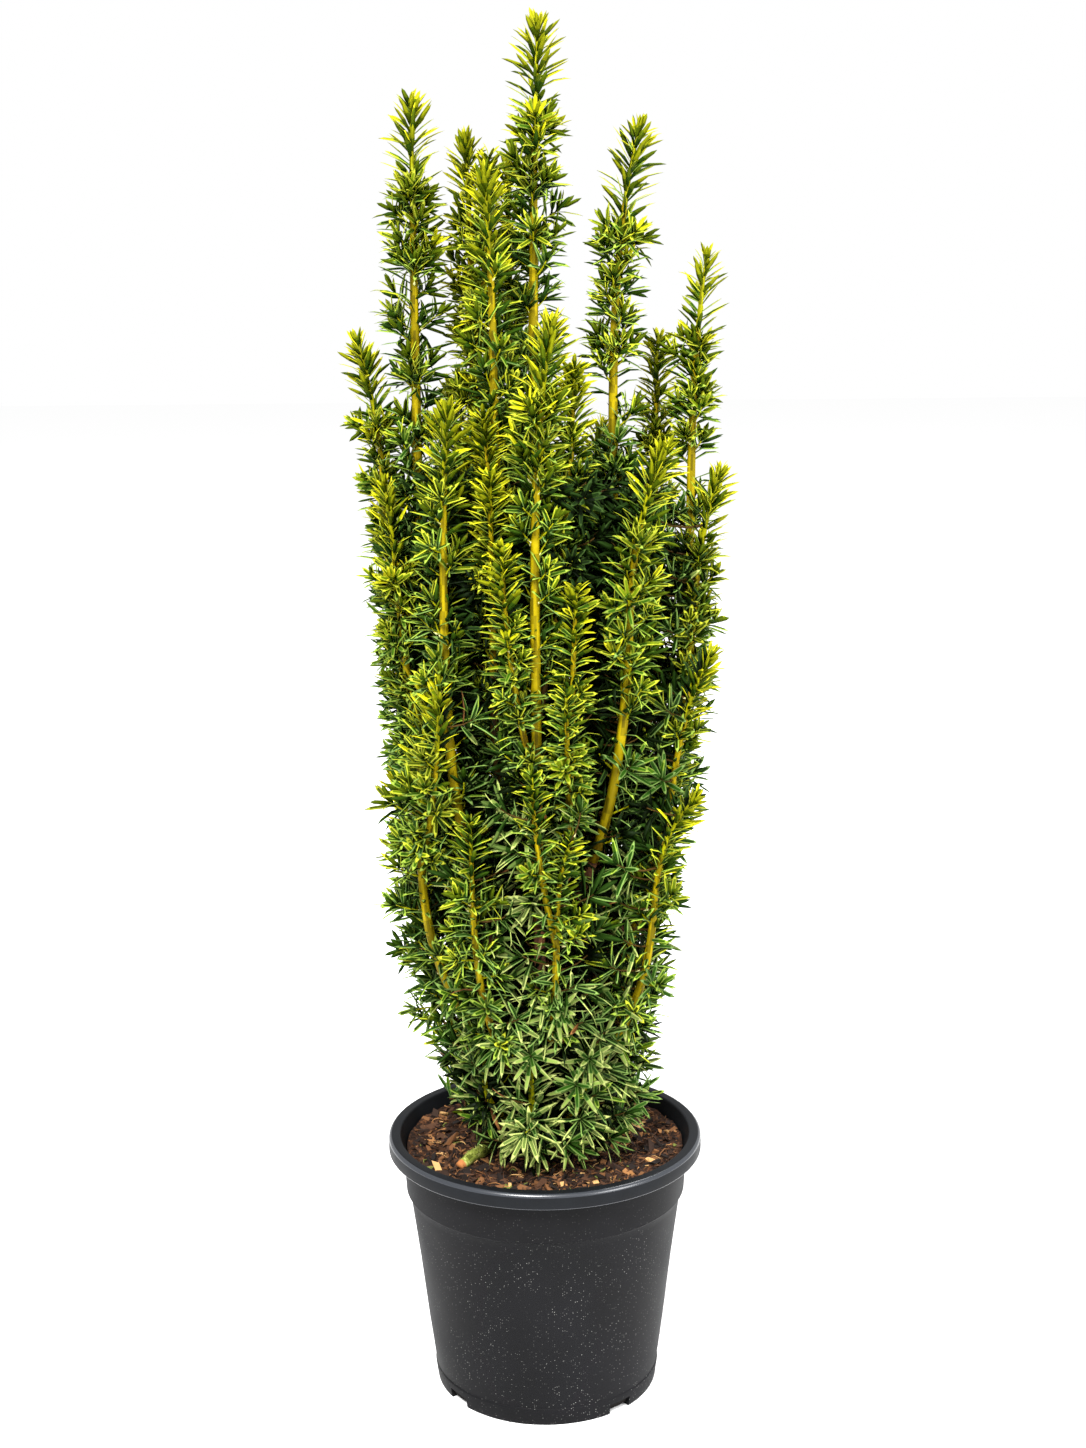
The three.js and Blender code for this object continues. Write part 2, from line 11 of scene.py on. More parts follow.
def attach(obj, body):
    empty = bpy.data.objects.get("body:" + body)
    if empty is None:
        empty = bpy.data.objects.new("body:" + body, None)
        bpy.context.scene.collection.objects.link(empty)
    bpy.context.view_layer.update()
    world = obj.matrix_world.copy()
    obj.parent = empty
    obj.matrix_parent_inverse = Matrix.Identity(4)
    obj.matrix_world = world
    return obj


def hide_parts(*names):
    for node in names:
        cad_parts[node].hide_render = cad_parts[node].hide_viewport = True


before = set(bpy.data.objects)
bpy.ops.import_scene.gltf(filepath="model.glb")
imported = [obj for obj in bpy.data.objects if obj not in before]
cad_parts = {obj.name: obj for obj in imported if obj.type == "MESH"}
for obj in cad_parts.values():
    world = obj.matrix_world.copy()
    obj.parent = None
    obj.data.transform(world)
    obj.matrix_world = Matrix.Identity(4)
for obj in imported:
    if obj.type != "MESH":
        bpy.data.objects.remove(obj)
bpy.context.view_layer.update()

# ---- Studio -----------------------------------------------------------------------------------------
# A white floor and white air all round, with a large soft lamp high in front on the left, a weaker one on the
# right and one high behind. The camera stands level with the plant's upper half and looks a little down.

FLOOR_SIZE = 40.0
CAMERA_PLACE = (0.0016, -1.6874, 0.9545)
CAMERA_DOWN = 11.685  # degrees below the horizon
CAMERA_ROLL = -0.5
FOCAL_LENGTH_PIXELS = 2000.0
IMAGE_HEIGHT_PIXELS = 1448.0
SENSOR_WIDTH = 36.0
LAMP_TARGET = Vector((0.0, 0.0, 0.7))
LAMPS = [  # name, place, width, watts
    ("key_lamp", (-0.8, -2.8, 3.7), 1.4, 425.0),
    ("fill_lamp", (3.0, -2.2, 2.2), 1.8, 165.0),
    ("back_lamp", (1.2, 1.8, 4.4), 1.6, 120.0),
]

scene = bpy.context.scene
scene.view_settings.view_transform = "Standard"
scene.view_settings.look = "None"

camera_data = bpy.data.cameras.new("camera")
camera_data.sensor_width = SENSOR_WIDTH
camera_data.lens = FOCAL_LENGTH_PIXELS / IMAGE_HEIGHT_PIXELS * SENSOR_WIDTH
camera = bpy.data.objects.new("camera", camera_data)
scene.collection.objects.link(camera)
camera.matrix_world = (
    Matrix.Translation(CAMERA_PLACE)
    @ Matrix.Rotation(np.radians(90.0 - CAMERA_DOWN), 4, "X")
    @ Matrix.Rotation(np.radians(CAMERA_ROLL), 4, "Z")
)
scene.camera = camera

world = bpy.data.worlds.new("white_air")
world.use_nodes = True
world.node_tree.nodes["Background"].inputs["Color"].default_value = (1.0, 1.0, 1.0, 1.0)
world.node_tree.nodes["Background"].inputs["Strength"].default_value = 1.0
scene.world = world

for name, place, width, watts in LAMPS:
    lamp_data = bpy.data.lights.new(name, "AREA")
    lamp_data.size = width
    lamp_data.energy = watts
    lamp = bpy.data.objects.new(name, lamp_data)
    scene.collection.objects.link(lamp)
    lamp.location = place
    lamp.rotation_euler = (LAMP_TARGET - Vector(place)).to_track_quat("-Z", "Y").to_euler()

floor_mesh = bpy.data.meshes.new("floor")
half = FLOOR_SIZE / 2
floor_corners = [(-half, -half, 0), (half, -half, 0), (half, half, 0), (-half, half, 0)]
floor_mesh.from_pydata(floor_corners, [], [(0, 1, 2, 3)])
floor = bpy.data.objects.new("floor", floor_mesh)
scene.collection.objects.link(floor)


def linear(colour):
    """A screen colour (0 to 255 in red, green and blue) as the linear values that a shader takes."""
    share = np.asarray(colour, float) / 255.0
    return tuple(np.where(share <= 0.04045, share / 12.92, ((share + 0.055) / 1.055) ** 2.4))


def new_material(name, colour, roughness, specular=0.5):
    """A plain finish with one colour all over. Returns the material and its shader node."""
    material = bpy.data.materials.new(name)
    material.use_nodes = True
    shader = material.node_tree.nodes["Principled BSDF"]
    shader.inputs["Base Color"].default_value = (*linear(colour), 1.0)
    shader.inputs["Roughness"].default_value = roughness
    shader.inputs["Specular IOR Level"].default_value = specular
    return material, shader


floor_mesh.materials.append(new_material("white_floor", (252, 252, 252), 1.0, 0.0)[0])

# ---- Pot --------------------------------------------------------------------------------------------
# A ten-litre nursery pot, blown in one piece from recycled dark grey plastic: a thin tapered wall on a flat
# base, a wider band, a rolled lip with its outer side turned down, and four drain notches cut in the foot's
# edge. The pale flecks in it are bits of other plastics and dust from the bench.

POT_HEIGHT = 235.0
POT_RIM_RADIUS = 140.0
POT_FOOT_RADIUS = 100.0
POT_WALL = 2.5
POT_SIDES = 192
HUB_RADIUS = 2.0  # the base is closed by a face of this size at its middle
LIP_BOTTOM = 221.0
LIP_WIDTH = 11.0
LIP_ROUND = 4.0  # radius of the lip's outer top edge
LIP_INNER_ROUND = 2.0
LIP_LOWER_ROUND = 0.8
LIP_FINISH_BOTTOM = LIP_BOTTOM - 0.5  # the lip is polished from here up
BAND_BOTTOM = 184.0
BAND_TOP_RADIUS = 127.0
BAND_BOTTOM_RADIUS = 125.0
CHAMFER_BOTTOM = 177.0
WALL_TOP_RADIUS = 121.0
WALL_FOOT_RADIUS = 102.0
WALL_SWELL = [(4.8, 60.0), (11.5, 118.0)]  # how much wider than at its foot the wall is at two heights
FOOT_TOP = 16.0
FOOT_STEP = 0.9  # the wall steps in by this much above the foot
FOOT_STEP_HALF = 0.8  # half the height over which it does
FOOT_ROUND = 2.0
DRAIN_WIDTH = 23.0
DRAIN_HEIGHT = 10.0
DRAIN_DEPTH = 20.0
DRAIN_BEARINGS = (40.0, 130.0, 220.0, 308.0)  # degrees anticlockwise from the front
POT_RIPPLE = 0.25  # how far the thin wall strays from a true circle
POT_WAVES = [(2.0, 0.8, 1.0), (5.0, 2.0, 0.5)]  # its waves: number round the pot, phase in radians, size
SHARP_EDGE = 32.0  # degrees
FLECK_COLOUR = (124, 124, 120)
FLECKS_FADE = (BAND_BOTTOM - 30.0, BAND_BOTTOM + 10.0)  # heights between which flecks become fainter
FLECKS_ABOVE = 0.25  # what is left of them above
BLACK = (0, 0, 0)
WHITE = (255, 255, 255)


def add_mesh(name, vertices, faces, slots=None, materials=(), smooth=True):
    """A mesh object from vertices in millimetres and a list of face arrays, with one row of corners per face.

    slots holds the number of each face's material, array by array. It is left out where there is only one.
    """
    corners = np.concatenate([rows.ravel() for rows in faces]).astype(np.int32)
    sizes = np.concatenate([np.full(len(rows), rows.shape[1]) for rows in faces])
    mesh = bpy.data.meshes.new(name)
    mesh.vertices.add(len(vertices))
    mesh.vertices.foreach_set("co", (np.asarray(vertices, float) * 0.001).ravel().astype(np.float32))
    mesh.loops.add(len(corners))
    mesh.loops.foreach_set("vertex_index", corners)
    mesh.polygons.add(len(sizes))
    mesh.polygons.foreach_set("loop_start", np.concatenate([[0], np.cumsum(sizes)[:-1]]).astype(np.int32))
    mesh.polygons.foreach_set("use_smooth", np.full(len(sizes), smooth))
    if slots is not None:
        mesh.polygons.foreach_set("material_index", np.concatenate(slots).astype(np.int32))
    for material in materials:
        mesh.materials.append(material)
    mesh.update(calc_edges=True)
    piece = bpy.data.objects.new(name, mesh)
    scene.collection.objects.link(piece)
    return piece


def ring_faces(rings, sides):
    """Corner numbers of the four-sided faces between a tube's rings, which are stored one after another."""
    ring = np.arange(rings - 1)[:, None] * sides
    side = np.arange(sides)[None, :]
    onward = (side + 1) % sides
    corners = [ring + side, ring + onward, ring + sides + onward, ring + sides + side]
    return np.stack(corners, axis=-1).reshape(-1, 4)


def repeated(faces, count, corners):
    """The faces of many copies of a shape: each copy's corner numbers move on by the shape's corners."""
    start = corners * np.arange(count)[:, None, None]
    return (faces[None] + start).reshape(-1, faces.shape[1])


def arc(centre, radius, start, end, steps):
    """Points (distance from the axis, height) on an arc round a centre, between two angles in degrees."""
    angle = np.radians(np.linspace(start, end, steps))
    return np.stack([centre[0] + radius * np.cos(angle), centre[1] + radius * np.sin(angle)], axis=1)


def ripple(points, length, seed, waves=14):
    """Smooth noise of about -1 to 1: the sum of sine waves, about a length long, in random directions."""
    random = np.random.default_rng(seed)
    ways = random.normal(size=(waves, 3))
    ways /= np.linalg.norm(ways, axis=1, keepdims=True) * length * random.uniform(0.6, 1.5, (waves, 1))
    phase = random.uniform(size=waves)
    return np.sin(2.0 * np.pi * (points @ ways.T + phase)).sum(axis=-1) * np.sqrt(0.5 / waves)


def lathe(profile, sides):
    """A profile of (distance from the axis, height) points turned round the Z axis: rings of vertices."""
    bearing = np.linspace(0.0, 2.0 * np.pi, sides, endpoint=False)
    radius, height = profile[:, None, 0], profile[:, None, 1]
    height = np.broadcast_to(height, (len(profile), sides))
    return np.stack([radius * np.cos(bearing), radius * np.sin(bearing), height], axis=-1).reshape(-1, 3)


foot_middle = (POT_FOOT_RADIUS - FOOT_ROUND, FOOT_ROUND)
lip_inner = POT_RIM_RADIUS - LIP_WIDTH
lip_hollow = POT_RIM_RADIUS - POT_WALL
pot_profile = np.concatenate([
    # the underside, the foot and the small step above it
    [(HUB_RADIUS, 0.0), (POT_FOOT_RADIUS - FOOT_ROUND - 1.0, 0.0)],
    arc(foot_middle, FOOT_ROUND, -90, 0, 5),
    [(WALL_FOOT_RADIUS - 0.2, FOOT_TOP - FOOT_STEP_HALF), (WALL_FOOT_RADIUS - 0.4, FOOT_TOP)],
    [(WALL_FOOT_RADIUS - FOOT_STEP, FOOT_TOP + FOOT_STEP_HALF)],
    # the wall, the chamfer over it and the band, with eased edges
    [(WALL_FOOT_RADIUS + swell, height) for swell, height in WALL_SWELL],
    [(WALL_TOP_RADIUS, CHAMFER_BOTTOM - 2.0), (WALL_TOP_RADIUS + 1.2, BAND_BOTTOM - 3.0)],
    [(WALL_TOP_RADIUS + 2.0, BAND_BOTTOM - 1.8), (BAND_BOTTOM_RADIUS, BAND_BOTTOM)],
    [(BAND_TOP_RADIUS - 0.6, LIP_BOTTOM - 14.0), (BAND_TOP_RADIUS, LIP_BOTTOM)],
    # up under the lip and down its turned-down side
    [(BAND_TOP_RADIUS + 2.0, POT_HEIGHT - POT_WALL - 0.6), (lip_hollow - 1.0, POT_HEIGHT - POT_WALL - 1.4)],
    [(lip_hollow, LIP_BOTTOM + 1.0), (lip_hollow + 0.5, LIP_BOTTOM)],
    # the lip's lower edge, outer side and top
    arc((POT_RIM_RADIUS - LIP_LOWER_ROUND, LIP_BOTTOM + LIP_LOWER_ROUND), LIP_LOWER_ROUND, -90, 0, 4),
    [(POT_RIM_RADIUS, LIP_BOTTOM + 5.0)],
    arc((POT_RIM_RADIUS - LIP_ROUND, POT_HEIGHT - LIP_ROUND), LIP_ROUND, 0, 90, 9),
    arc((lip_inner + LIP_INNER_ROUND, POT_HEIGHT - LIP_INNER_ROUND), LIP_INNER_ROUND, 90, 180, 5),
    # the inside
    [(BAND_TOP_RADIUS - POT_WALL, LIP_BOTTOM), (BAND_BOTTOM_RADIUS - POT_WALL, BAND_BOTTOM)],
    [(WALL_TOP_RADIUS - POT_WALL, CHAMFER_BOTTOM), (WALL_FOOT_RADIUS - POT_WALL, FOOT_TOP)],
    [(POT_FOOT_RADIUS - POT_WALL - 1.0, POT_WALL), (HUB_RADIUS, POT_WALL)],
])
pot_vertices = lathe(pot_profile, POT_SIDES)
pot_bearing = np.arctan2(pot_vertices[:, 1], pot_vertices[:, 0])
strain = POT_RIPPLE * sum(size * np.sin(number * pot_bearing + phase) for number, phase, size in POT_WAVES)
strain *= pot_vertices[:, 2] / POT_HEIGHT - 1.0  # none at the stiff lip
pot_vertices[:, :2] *= 1.0 + (strain / POT_RIM_RADIUS)[:, None]
hub = np.arange(POT_SIDES)
pot = add_mesh("pot_shell", pot_vertices, [
    ring_faces(len(pot_profile), POT_SIDES),
    hub[None, ::-1],
    hub[None, :] + (len(pot_profile) - 1) * POT_SIDES,
])

BOX_CORNERS = np.array([(x, y, z) for x in (-1, 1) for y in (-1, 1) for z in (-1, 1)], float)
BOX_FACES = np.array([(0, 1, 3, 2), (4, 6, 7, 5), (0, 4, 5, 1), (2, 3, 7, 6), (0, 2, 6, 4), (1, 5, 7, 3)])
notch = BOX_CORNERS * (DRAIN_WIDTH / 2, DRAIN_DEPTH, DRAIN_HEIGHT) - (0.0, POT_FOOT_RADIUS, 0.0)
turn = np.radians(DRAIN_BEARINGS)[:, None]
notches = np.stack([
    notch[:, 0] * np.cos(turn) - notch[:, 1] * np.sin(turn),
    notch[:, 0] * np.sin(turn) + notch[:, 1] * np.cos(turn),
    np.broadcast_to(notch[:, 2], (len(DRAIN_BEARINGS), len(BOX_CORNERS))),
], axis=-1)
notch_faces = repeated(BOX_FACES, len(DRAIN_BEARINGS), len(BOX_CORNERS))
cutter = add_mesh("drain_notches", notches.reshape(-1, 3), [notch_faces], smooth=False)
cut = pot.modifiers.new("notches", "BOOLEAN")
cut.operation = "DIFFERENCE"
cut.object = cutter
cut.solver = "EXACT"
pot.data = bpy.data.meshes.new_from_object(pot.evaluated_get(bpy.context.evaluated_depsgraph_get()))
pot.modifiers.clear()
bpy.data.objects.remove(cutter)
pot.data.set_sharp_from_angle(angle=np.radians(SHARP_EDGE))


def add_node(material, kind, **sockets):
    """A shader node of a kind with its plain sockets set."""
    node = material.node_tree.nodes.new(kind)
    for socket, value in sockets.items():
        node.inputs[socket.replace("_", " ")].default_value = value
    return node


def link(material, source, output, target, socket):
    """Joins one node's output to another's input."""
    material.node_tree.links.new(source.outputs[output], target.inputs[socket])


def add_noise(material, source, output, scale, detail, roughness=0.5):
    """Cloudy noise at the coordinates that a node gives, with so many clouds to the metre."""
    noise = add_node(material, "ShaderNodeTexNoise", Scale=scale, Detail=detail, Roughness=roughness)
    link(material, source, output, noise, "Vector")
    return noise


def add_ramp(material, source, output, stops):
    """A colour ramp driven by a node's output. stops are (place, screen colour)."""
    node = material.node_tree.nodes.new("ShaderNodeValToRGB")
    elements = node.color_ramp.elements
    while len(elements) < len(stops):
        elements.new(0.5)
    for element, (place, colour) in zip(elements, stops):
        element.position = place
        element.color = (*linear(colour), 1.0)
    link(material, source, output, node, "Fac")
    return node


def add_clouds(material, shader, noise, colours, greys):
    """Two colours and two roughnesses, the latter as screen greys, that blend by a noise's clouds.

    Returns the node that blends the colours.
    """
    tint, sheen = [
        add_ramp(material, noise, "Fac", [(0.3, first), (0.7, second)]) for first, second in (colours, greys)
    ]
    link(material, tint, "Color", shader, "Base Color")
    link(material, sheen, "Color", shader, "Roughness")
    return tint


def add_bump(material, shader, height, strength, distance):
    """Small relief on a finish, from a noise."""
    bump = add_node(material, "ShaderNodeBump", Strength=strength, Distance=distance)
    link(material, height, "Fac", bump, "Height")
    link(material, bump, "Normal", shader, "Normal")


def product(material, factors):
    """The product of several nodes' outputs, by a chain of multiplying nodes. factors are (node, output)."""
    source, output = factors[0]
    for factor, factor_output in factors[1:]:
        multiply = material.node_tree.nodes.new("ShaderNodeMath")
        multiply.operation = "MULTIPLY"
        link(material, source, output, multiply, 0)
        link(material, factor, factor_output, multiply, 1)
        source, output = multiply, "Value"
    return source


def flecked_plastic():
    """The wall's plastic: faint clouds of two greys, a fine grain and pale flecks, fainter on the band.

    A fleck is a dot round the middle of a cell. Some cells have none, and in some patches most have none.
    """
    material, shader = new_material("dark_grey_plastic", (12, 12, 13), 0.5, 0.06)
    place = add_node(material, "ShaderNodeTexCoord")
    cloud = add_noise(material, place, "Object", 14.0, 3.0)
    wall_colour = add_clouds(
        material, shader, cloud, [(13, 13, 14), (19, 19, 21)], [(186, 186, 186), (206, 206, 206)],
    )
    cell = add_node(material, "ShaderNodeTexVoronoi", Scale=560.0, Randomness=1.0)
    link(material, place, "Object", cell, "Vector")
    dot = add_ramp(material, cell, "Distance", [(0.18, WHITE), (0.25, BLACK)])
    chance = add_node(material, "ShaderNodeSeparateColor")
    link(material, cell, "Color", chance, "Color")
    strength = add_ramp(material, chance, "Red", [(0.60, BLACK), (0.98, WHITE)])
    patch = add_noise(material, place, "Object", 26.0, 2.0)
    patch_strength = add_ramp(material, patch, "Fac", [(0.30, BLACK), (0.66, WHITE)])
    height = add_node(material, "ShaderNodeSeparateXYZ")
    link(material, place, "Object", height, "Vector")
    fade = add_node(
        material, "ShaderNodeMapRange", From_Min=FLECKS_FADE[0] * 0.001, From_Max=FLECKS_FADE[1] * 0.001,
        To_Min=1.0, To_Max=FLECKS_ABOVE,
    )
    link(material, height, "Z", fade, "Value")
    fleck = product(material, [
        (dot, "Color"), (strength, "Color"), (patch_strength, "Color"), (fade, "Result"),
    ])
    blend = material.node_tree.nodes.new("ShaderNodeMix")
    blend.data_type = "RGBA"
    wall_socket, fleck_socket, blend_output = 6, 7, 2  # a Mix node's colour sockets share their names
    blend.inputs[fleck_socket].default_value = (*linear(FLECK_COLOUR), 1.0)
    link(material, fleck, "Value", blend, "Factor")
    link(material, wall_colour, "Color", blend, wall_socket)
    link(material, blend, blend_output, shader, "Base Color")
    grain = add_noise(material, place, "Object", 900.0, 2.0)
    add_bump(material, shader, grain, 0.12, 0.0004)
    return material


def lip_plastic():
    """The lip's plastic: clouds of two slightly lighter and bluer greys, without flecks."""
    material, shader = new_material("lip_plastic", (14, 15, 17), 0.5, 0.08)
    place = add_node(material, "ShaderNodeTexCoord")
    cloud = add_noise(material, place, "Object", 30.0, 4.0)
    add_clouds(material, shader, cloud, [(12, 13, 15), (18, 20, 23)], [(180, 180, 180), (200, 200, 200)])
    return material


pot.data.materials.append(flecked_plastic())
pot.data.materials.append(lip_plastic())
# The lip's rounded top edge and its lower edge are glossier than the rest, and their lighter grey is painted
# light: a painted highlight along the top and a painted reflection of the floor along the bottom.
pot.data.materials.append(new_material("lip_edges_painted_light", (34, 37, 42), 0.26, 0.55)[0])
face_middles = np.empty(3 * len(pot.data.polygons), np.float32)
pot.data.polygons.foreach_get("center", face_middles)
face_x, face_y, face_z = 1000.0 * face_middles.astype(float).reshape(-1, 3).T
is_outer = (np.hypot(face_x, face_y) > POT_RIM_RADIUS - LIP_ROUND) & (face_z < POT_HEIGHT - 0.12 * LIP_ROUND)
is_lower_edge = (face_z > LIP_BOTTOM) & (face_z < LIP_BOTTOM + 0.9)
is_painted_light_edge = is_outer & ((face_z > POT_HEIGHT - 0.9 * LIP_ROUND) | is_lower_edge)
pot_slots = np.where(is_painted_light_edge, 2, face_z > LIP_FINISH_BOTTOM)
pot.data.polygons.foreach_set("material_index", pot_slots.astype(np.int32))
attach(pot, "root")
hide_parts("pot")

# ---- Potting soil -----------------------------------------------------------------------------------
# Coarse bark-and-peat potting mix that fills the whole inside of the pot. It is pressed in by hand, so its
# top rises a little to the wall. That moist top is crumbly, and the rest, which the pot hides, is wet peat.

SOIL_TOP = 216.0
SOIL_RISE = 7.0  # towards the wall
SOIL_LUMPS = [(1.6, 48.0, 21), (1.2, 17.0, 22), (0.9, 7.0, 23)]  # height, length, seed of each size of lump
SOIL_GAP = 0.3  # between the soil and the pot
SOIL_TOP_GAP = 0.6  # and this much more at its top edge
SOIL_HUB_RADIUS = 1.0
SOIL_SIDES = 180
SOIL_RINGS = 60


def soil_height(x, y):
    """The soil's height: a dish that rises by the square of the radius, with lumps of three sizes."""
    points = np.stack([x, y, np.zeros_like(x)], axis=-1)
    height = SOIL_TOP + SOIL_RISE * (np.hypot(x, y) / BAND_TOP_RADIUS) ** 2
    for rise, length, seed in SOIL_LUMPS:
        height = height + rise * ripple(points, length, seed)
    return height


def crumbly_peat():
    """The finish of the soil's top: crumbs from nearly black to tan, with relief of the same pattern."""
    material, shader = new_material("moist_peat", (40, 25, 16), 0.95, 0.15)
    place = add_node(material, "ShaderNodeTexCoord")
    crumbs = add_noise(material, place, "Object", 220.0, 6.0, 0.7)
    colour = add_ramp(material, crumbs, "Fac", [
        (0.36, (18, 11, 7)), (0.52, (46, 28, 17)), (0.68, (100, 62, 35)),
    ])
    link(material, colour, "Color", shader, "Base Color")
    add_bump(material, shader, crumbs, 0.9, 0.002)
    return material


soil_inset = POT_WALL + SOIL_GAP
soil_radius = np.linspace(SOIL_HUB_RADIUS, BAND_TOP_RADIUS - soil_inset - SOIL_TOP_GAP, SOIL_RINGS)
soil_bearing = np.linspace(0.0, 2.0 * np.pi, SOIL_SIDES, endpoint=False)
soil_x = soil_radius[:, None] * np.cos(soil_bearing)
soil_y = soil_radius[:, None] * np.sin(soil_bearing)
soil_top = np.stack([soil_x, soil_y, soil_height(soil_x, soil_y)], axis=-1)
soil_side = lathe(np.array([
    (BAND_BOTTOM_RADIUS - soil_inset, BAND_BOTTOM),
    (WALL_TOP_RADIUS - soil_inset, CHAMFER_BOTTOM),
    (WALL_FOOT_RADIUS - soil_inset, FOOT_TOP),
    (POT_FOOT_RADIUS - soil_inset - 1.0, soil_inset),
    (SOIL_HUB_RADIUS, soil_inset),
]), SOIL_SIDES)
soil_vertices = np.concatenate([soil_top.reshape(-1, 3), soil_side])
soil_rings = len(soil_vertices) // SOIL_SIDES
hub = np.arange(SOIL_SIDES)
soil_slots = np.repeat([0, 1], [(SOIL_RINGS - 1) * SOIL_SIDES, (soil_rings - SOIL_RINGS) * SOIL_SIDES])
soil_bed = add_mesh("soil_bed", soil_vertices, [
    ring_faces(soil_rings, SOIL_SIDES)[:, ::-1],
    hub[None, :],
    hub[None, ::-1] + (soil_rings - 1) * SOIL_SIDES,
], [soil_slots, [0], [1]])
soil_bed.data.materials.append(crumbly_peat())
soil_bed.data.materials.append(new_material("wet_peat", (12, 9, 7), 0.9, 0.1)[0])
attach(soil_bed, "root")
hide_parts("soil")

# ---- Bark flakes ------------------------------------------------------------------------------------
# The litter on top of the mix: chips and splinters of composted bark, mostly dark brown, some tan and orange,
# a few mossy. They lie loose at all angles, half sunk in the peat.

FLAKE_COUNT = 3600
FLAKE_LENGTH = 6.0  # of the middle one in size
FLAKE_SPREAD = 0.5  # of the logarithm of their lengths
FLAKE_LIMITS = (1.8, 20.0)
FLAKE_WIDTHS = (0.25, 0.7)  # as shares of the length
FLAKE_DEPTHS = (0.08, 0.25)
FLAKE_CORNERS = (0.35, 1.0)  # each corner of a box is drawn in to a random share
FLAKE_RISE = 0.25  # of its depth, by which a flake's middle lies above the soil
FLAKE_TILT = 26.0  # degrees
FLAKE_INNER_RADIUS = 4.0
FLAKE_WALL_GAP = 5.0
FLAKE_COLOURS = [
    (22, 13, 8), (42, 26, 16), (68, 43, 26), (104, 68, 38), (142, 98, 56), (180, 140, 88), (94, 100, 42),
]
FLAKE_SHARES = [0.29, 0.27, 0.21, 0.12, 0.06, 0.03, 0.02]
litter = np.random.default_rng(11)


def turned(count, tilt):
    """Random turns: any bearing about Z, then a lean and a roll that are spread by so many degrees.

    Returns the directions in which a thing's length, width and depth lie.
    """
    bearing = litter.uniform(0.0, 2.0 * np.pi, count)
    lean = np.radians(litter.normal(0.0, tilt, count))
    roll = np.radians(litter.normal(0.0, tilt, count))
    along = np.stack([np.cos(bearing) * np.cos(lean), np.sin(bearing) * np.cos(lean), np.sin(lean)], axis=-1)
    across = np.stack([-np.sin(bearing), np.cos(bearing), np.zeros(count)], axis=-1)
    up = np.cross(along, across)
    side = across * np.cos(roll)[:, None] + up * np.sin(roll)[:, None]
    return along, side, np.cross(along, side)


def scattered(count, inner, outer):
    """Places spread evenly over the ring between two radii: the squares of their radii are spread evenly."""
    radius = np.sqrt(litter.uniform(inner**2, outer**2, count))
    bearing = litter.uniform(0.0, 2.0 * np.pi, count)
    return radius * np.cos(bearing), radius * np.sin(bearing)


soil_edge = BAND_TOP_RADIUS - soil_inset
flake_length = litter.lognormal(np.log(FLAKE_LENGTH), FLAKE_SPREAD, FLAKE_COUNT).clip(*FLAKE_LIMITS)
flake_width = flake_length * litter.uniform(*FLAKE_WIDTHS, FLAKE_COUNT)
flake_depth = flake_length * litter.uniform(*FLAKE_DEPTHS, FLAKE_COUNT)
flake_x, flake_y = scattered(FLAKE_COUNT, FLAKE_INNER_RADIUS, soil_edge - FLAKE_WALL_GAP)
flake_z = soil_height(flake_x, flake_y) + FLAKE_RISE * flake_depth
flake_vertices = np.stack([flake_x, flake_y, flake_z], axis=-1)[:, None]
flake_ways = turned(FLAKE_COUNT, FLAKE_TILT)
corner = BOX_CORNERS / 2.0 * litter.uniform(*FLAKE_CORNERS, (FLAKE_COUNT, len(BOX_CORNERS), 3))
for axis, (way, size) in enumerate(zip(flake_ways, (flake_length, flake_width, flake_depth))):
    flake_vertices = flake_vertices + corner[..., axis:axis + 1] * (way * size[:, None])[:, None]
flake_faces = repeated(BOX_FACES, FLAKE_COUNT, len(BOX_CORNERS))
flake_kind = litter.choice(len(FLAKE_COLOURS), FLAKE_COUNT, p=FLAKE_SHARES)
flake_slots = np.repeat(flake_kind, len(BOX_FACES))
litter_materials = [
    new_material(f"bark_flake_{i + 1}", colour, 0.85, 0.25)[0] for i, colour in enumerate(FLAKE_COLOURS)
]
flakes = add_mesh(
    "bark_flakes", flake_vertices.reshape(-1, 3), [flake_faces], [flake_slots], litter_materials,
    smooth=False,
)
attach(flakes, "root")
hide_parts("soil")

# ---- Mossy stub -------------------------------------------------------------------------------------
# A cut piece of root as thick as a finger, overgrown with moss, that lies on the soil to the left of the
# foliage. Its cut end shows the reddish wood, and the moss stands off it in short pointed leaves.

STUB_POINTS = [
    (-36, 20, 223), (-41, 8, 222), (-48, -8, 222), (-55, -19, 222), (-63, -35, 224), (-69, -47, 224.5),
    (-75, -54, 223),
]
STUB_RADII = [4.0, 4.5, 5.0, 5.5, 5.0, 4.6, 4.0]
STUB_SIDES = 12
STUB_STATIONS = 40
STUB_LUMPS = [(0.16, 9.0, 51), (0.1, 3.5, 52)]  # share of the radius, length and seed of each size of lump
CUT_END_RINGS = 3  # of bare wood
MOSS_PATCH = 6.0  # length of the patches of each green
MOSS_PATCH_SEED = 53
MOSS_PATCH_BOUNDS = (-0.5, 0.5)  # values of the noise at which one green gives way to the next
MOSS_LEAVES = 260
LEAF_STATIONS = (2, STUB_STATIONS - 8)
LEAF_LENGTHS = (1.6, 3.6)
LEAF_DEPTH = 0.85  # leaves are rooted at this share of the stub's radius
LEAF_FOOT = [(0.7, 0.0), (-0.35, 0.6), (-0.35, -0.6)]  # the three corners of a leaf's foot
LEAF_FACES = np.array([(0, 1, 3), (1, 2, 3), (2, 0, 3), (0, 2, 1)])


def unit(vectors):
    """Vectors brought to length 1."""
    return vectors / np.linalg.norm(vectors, axis=-1, keepdims=True)


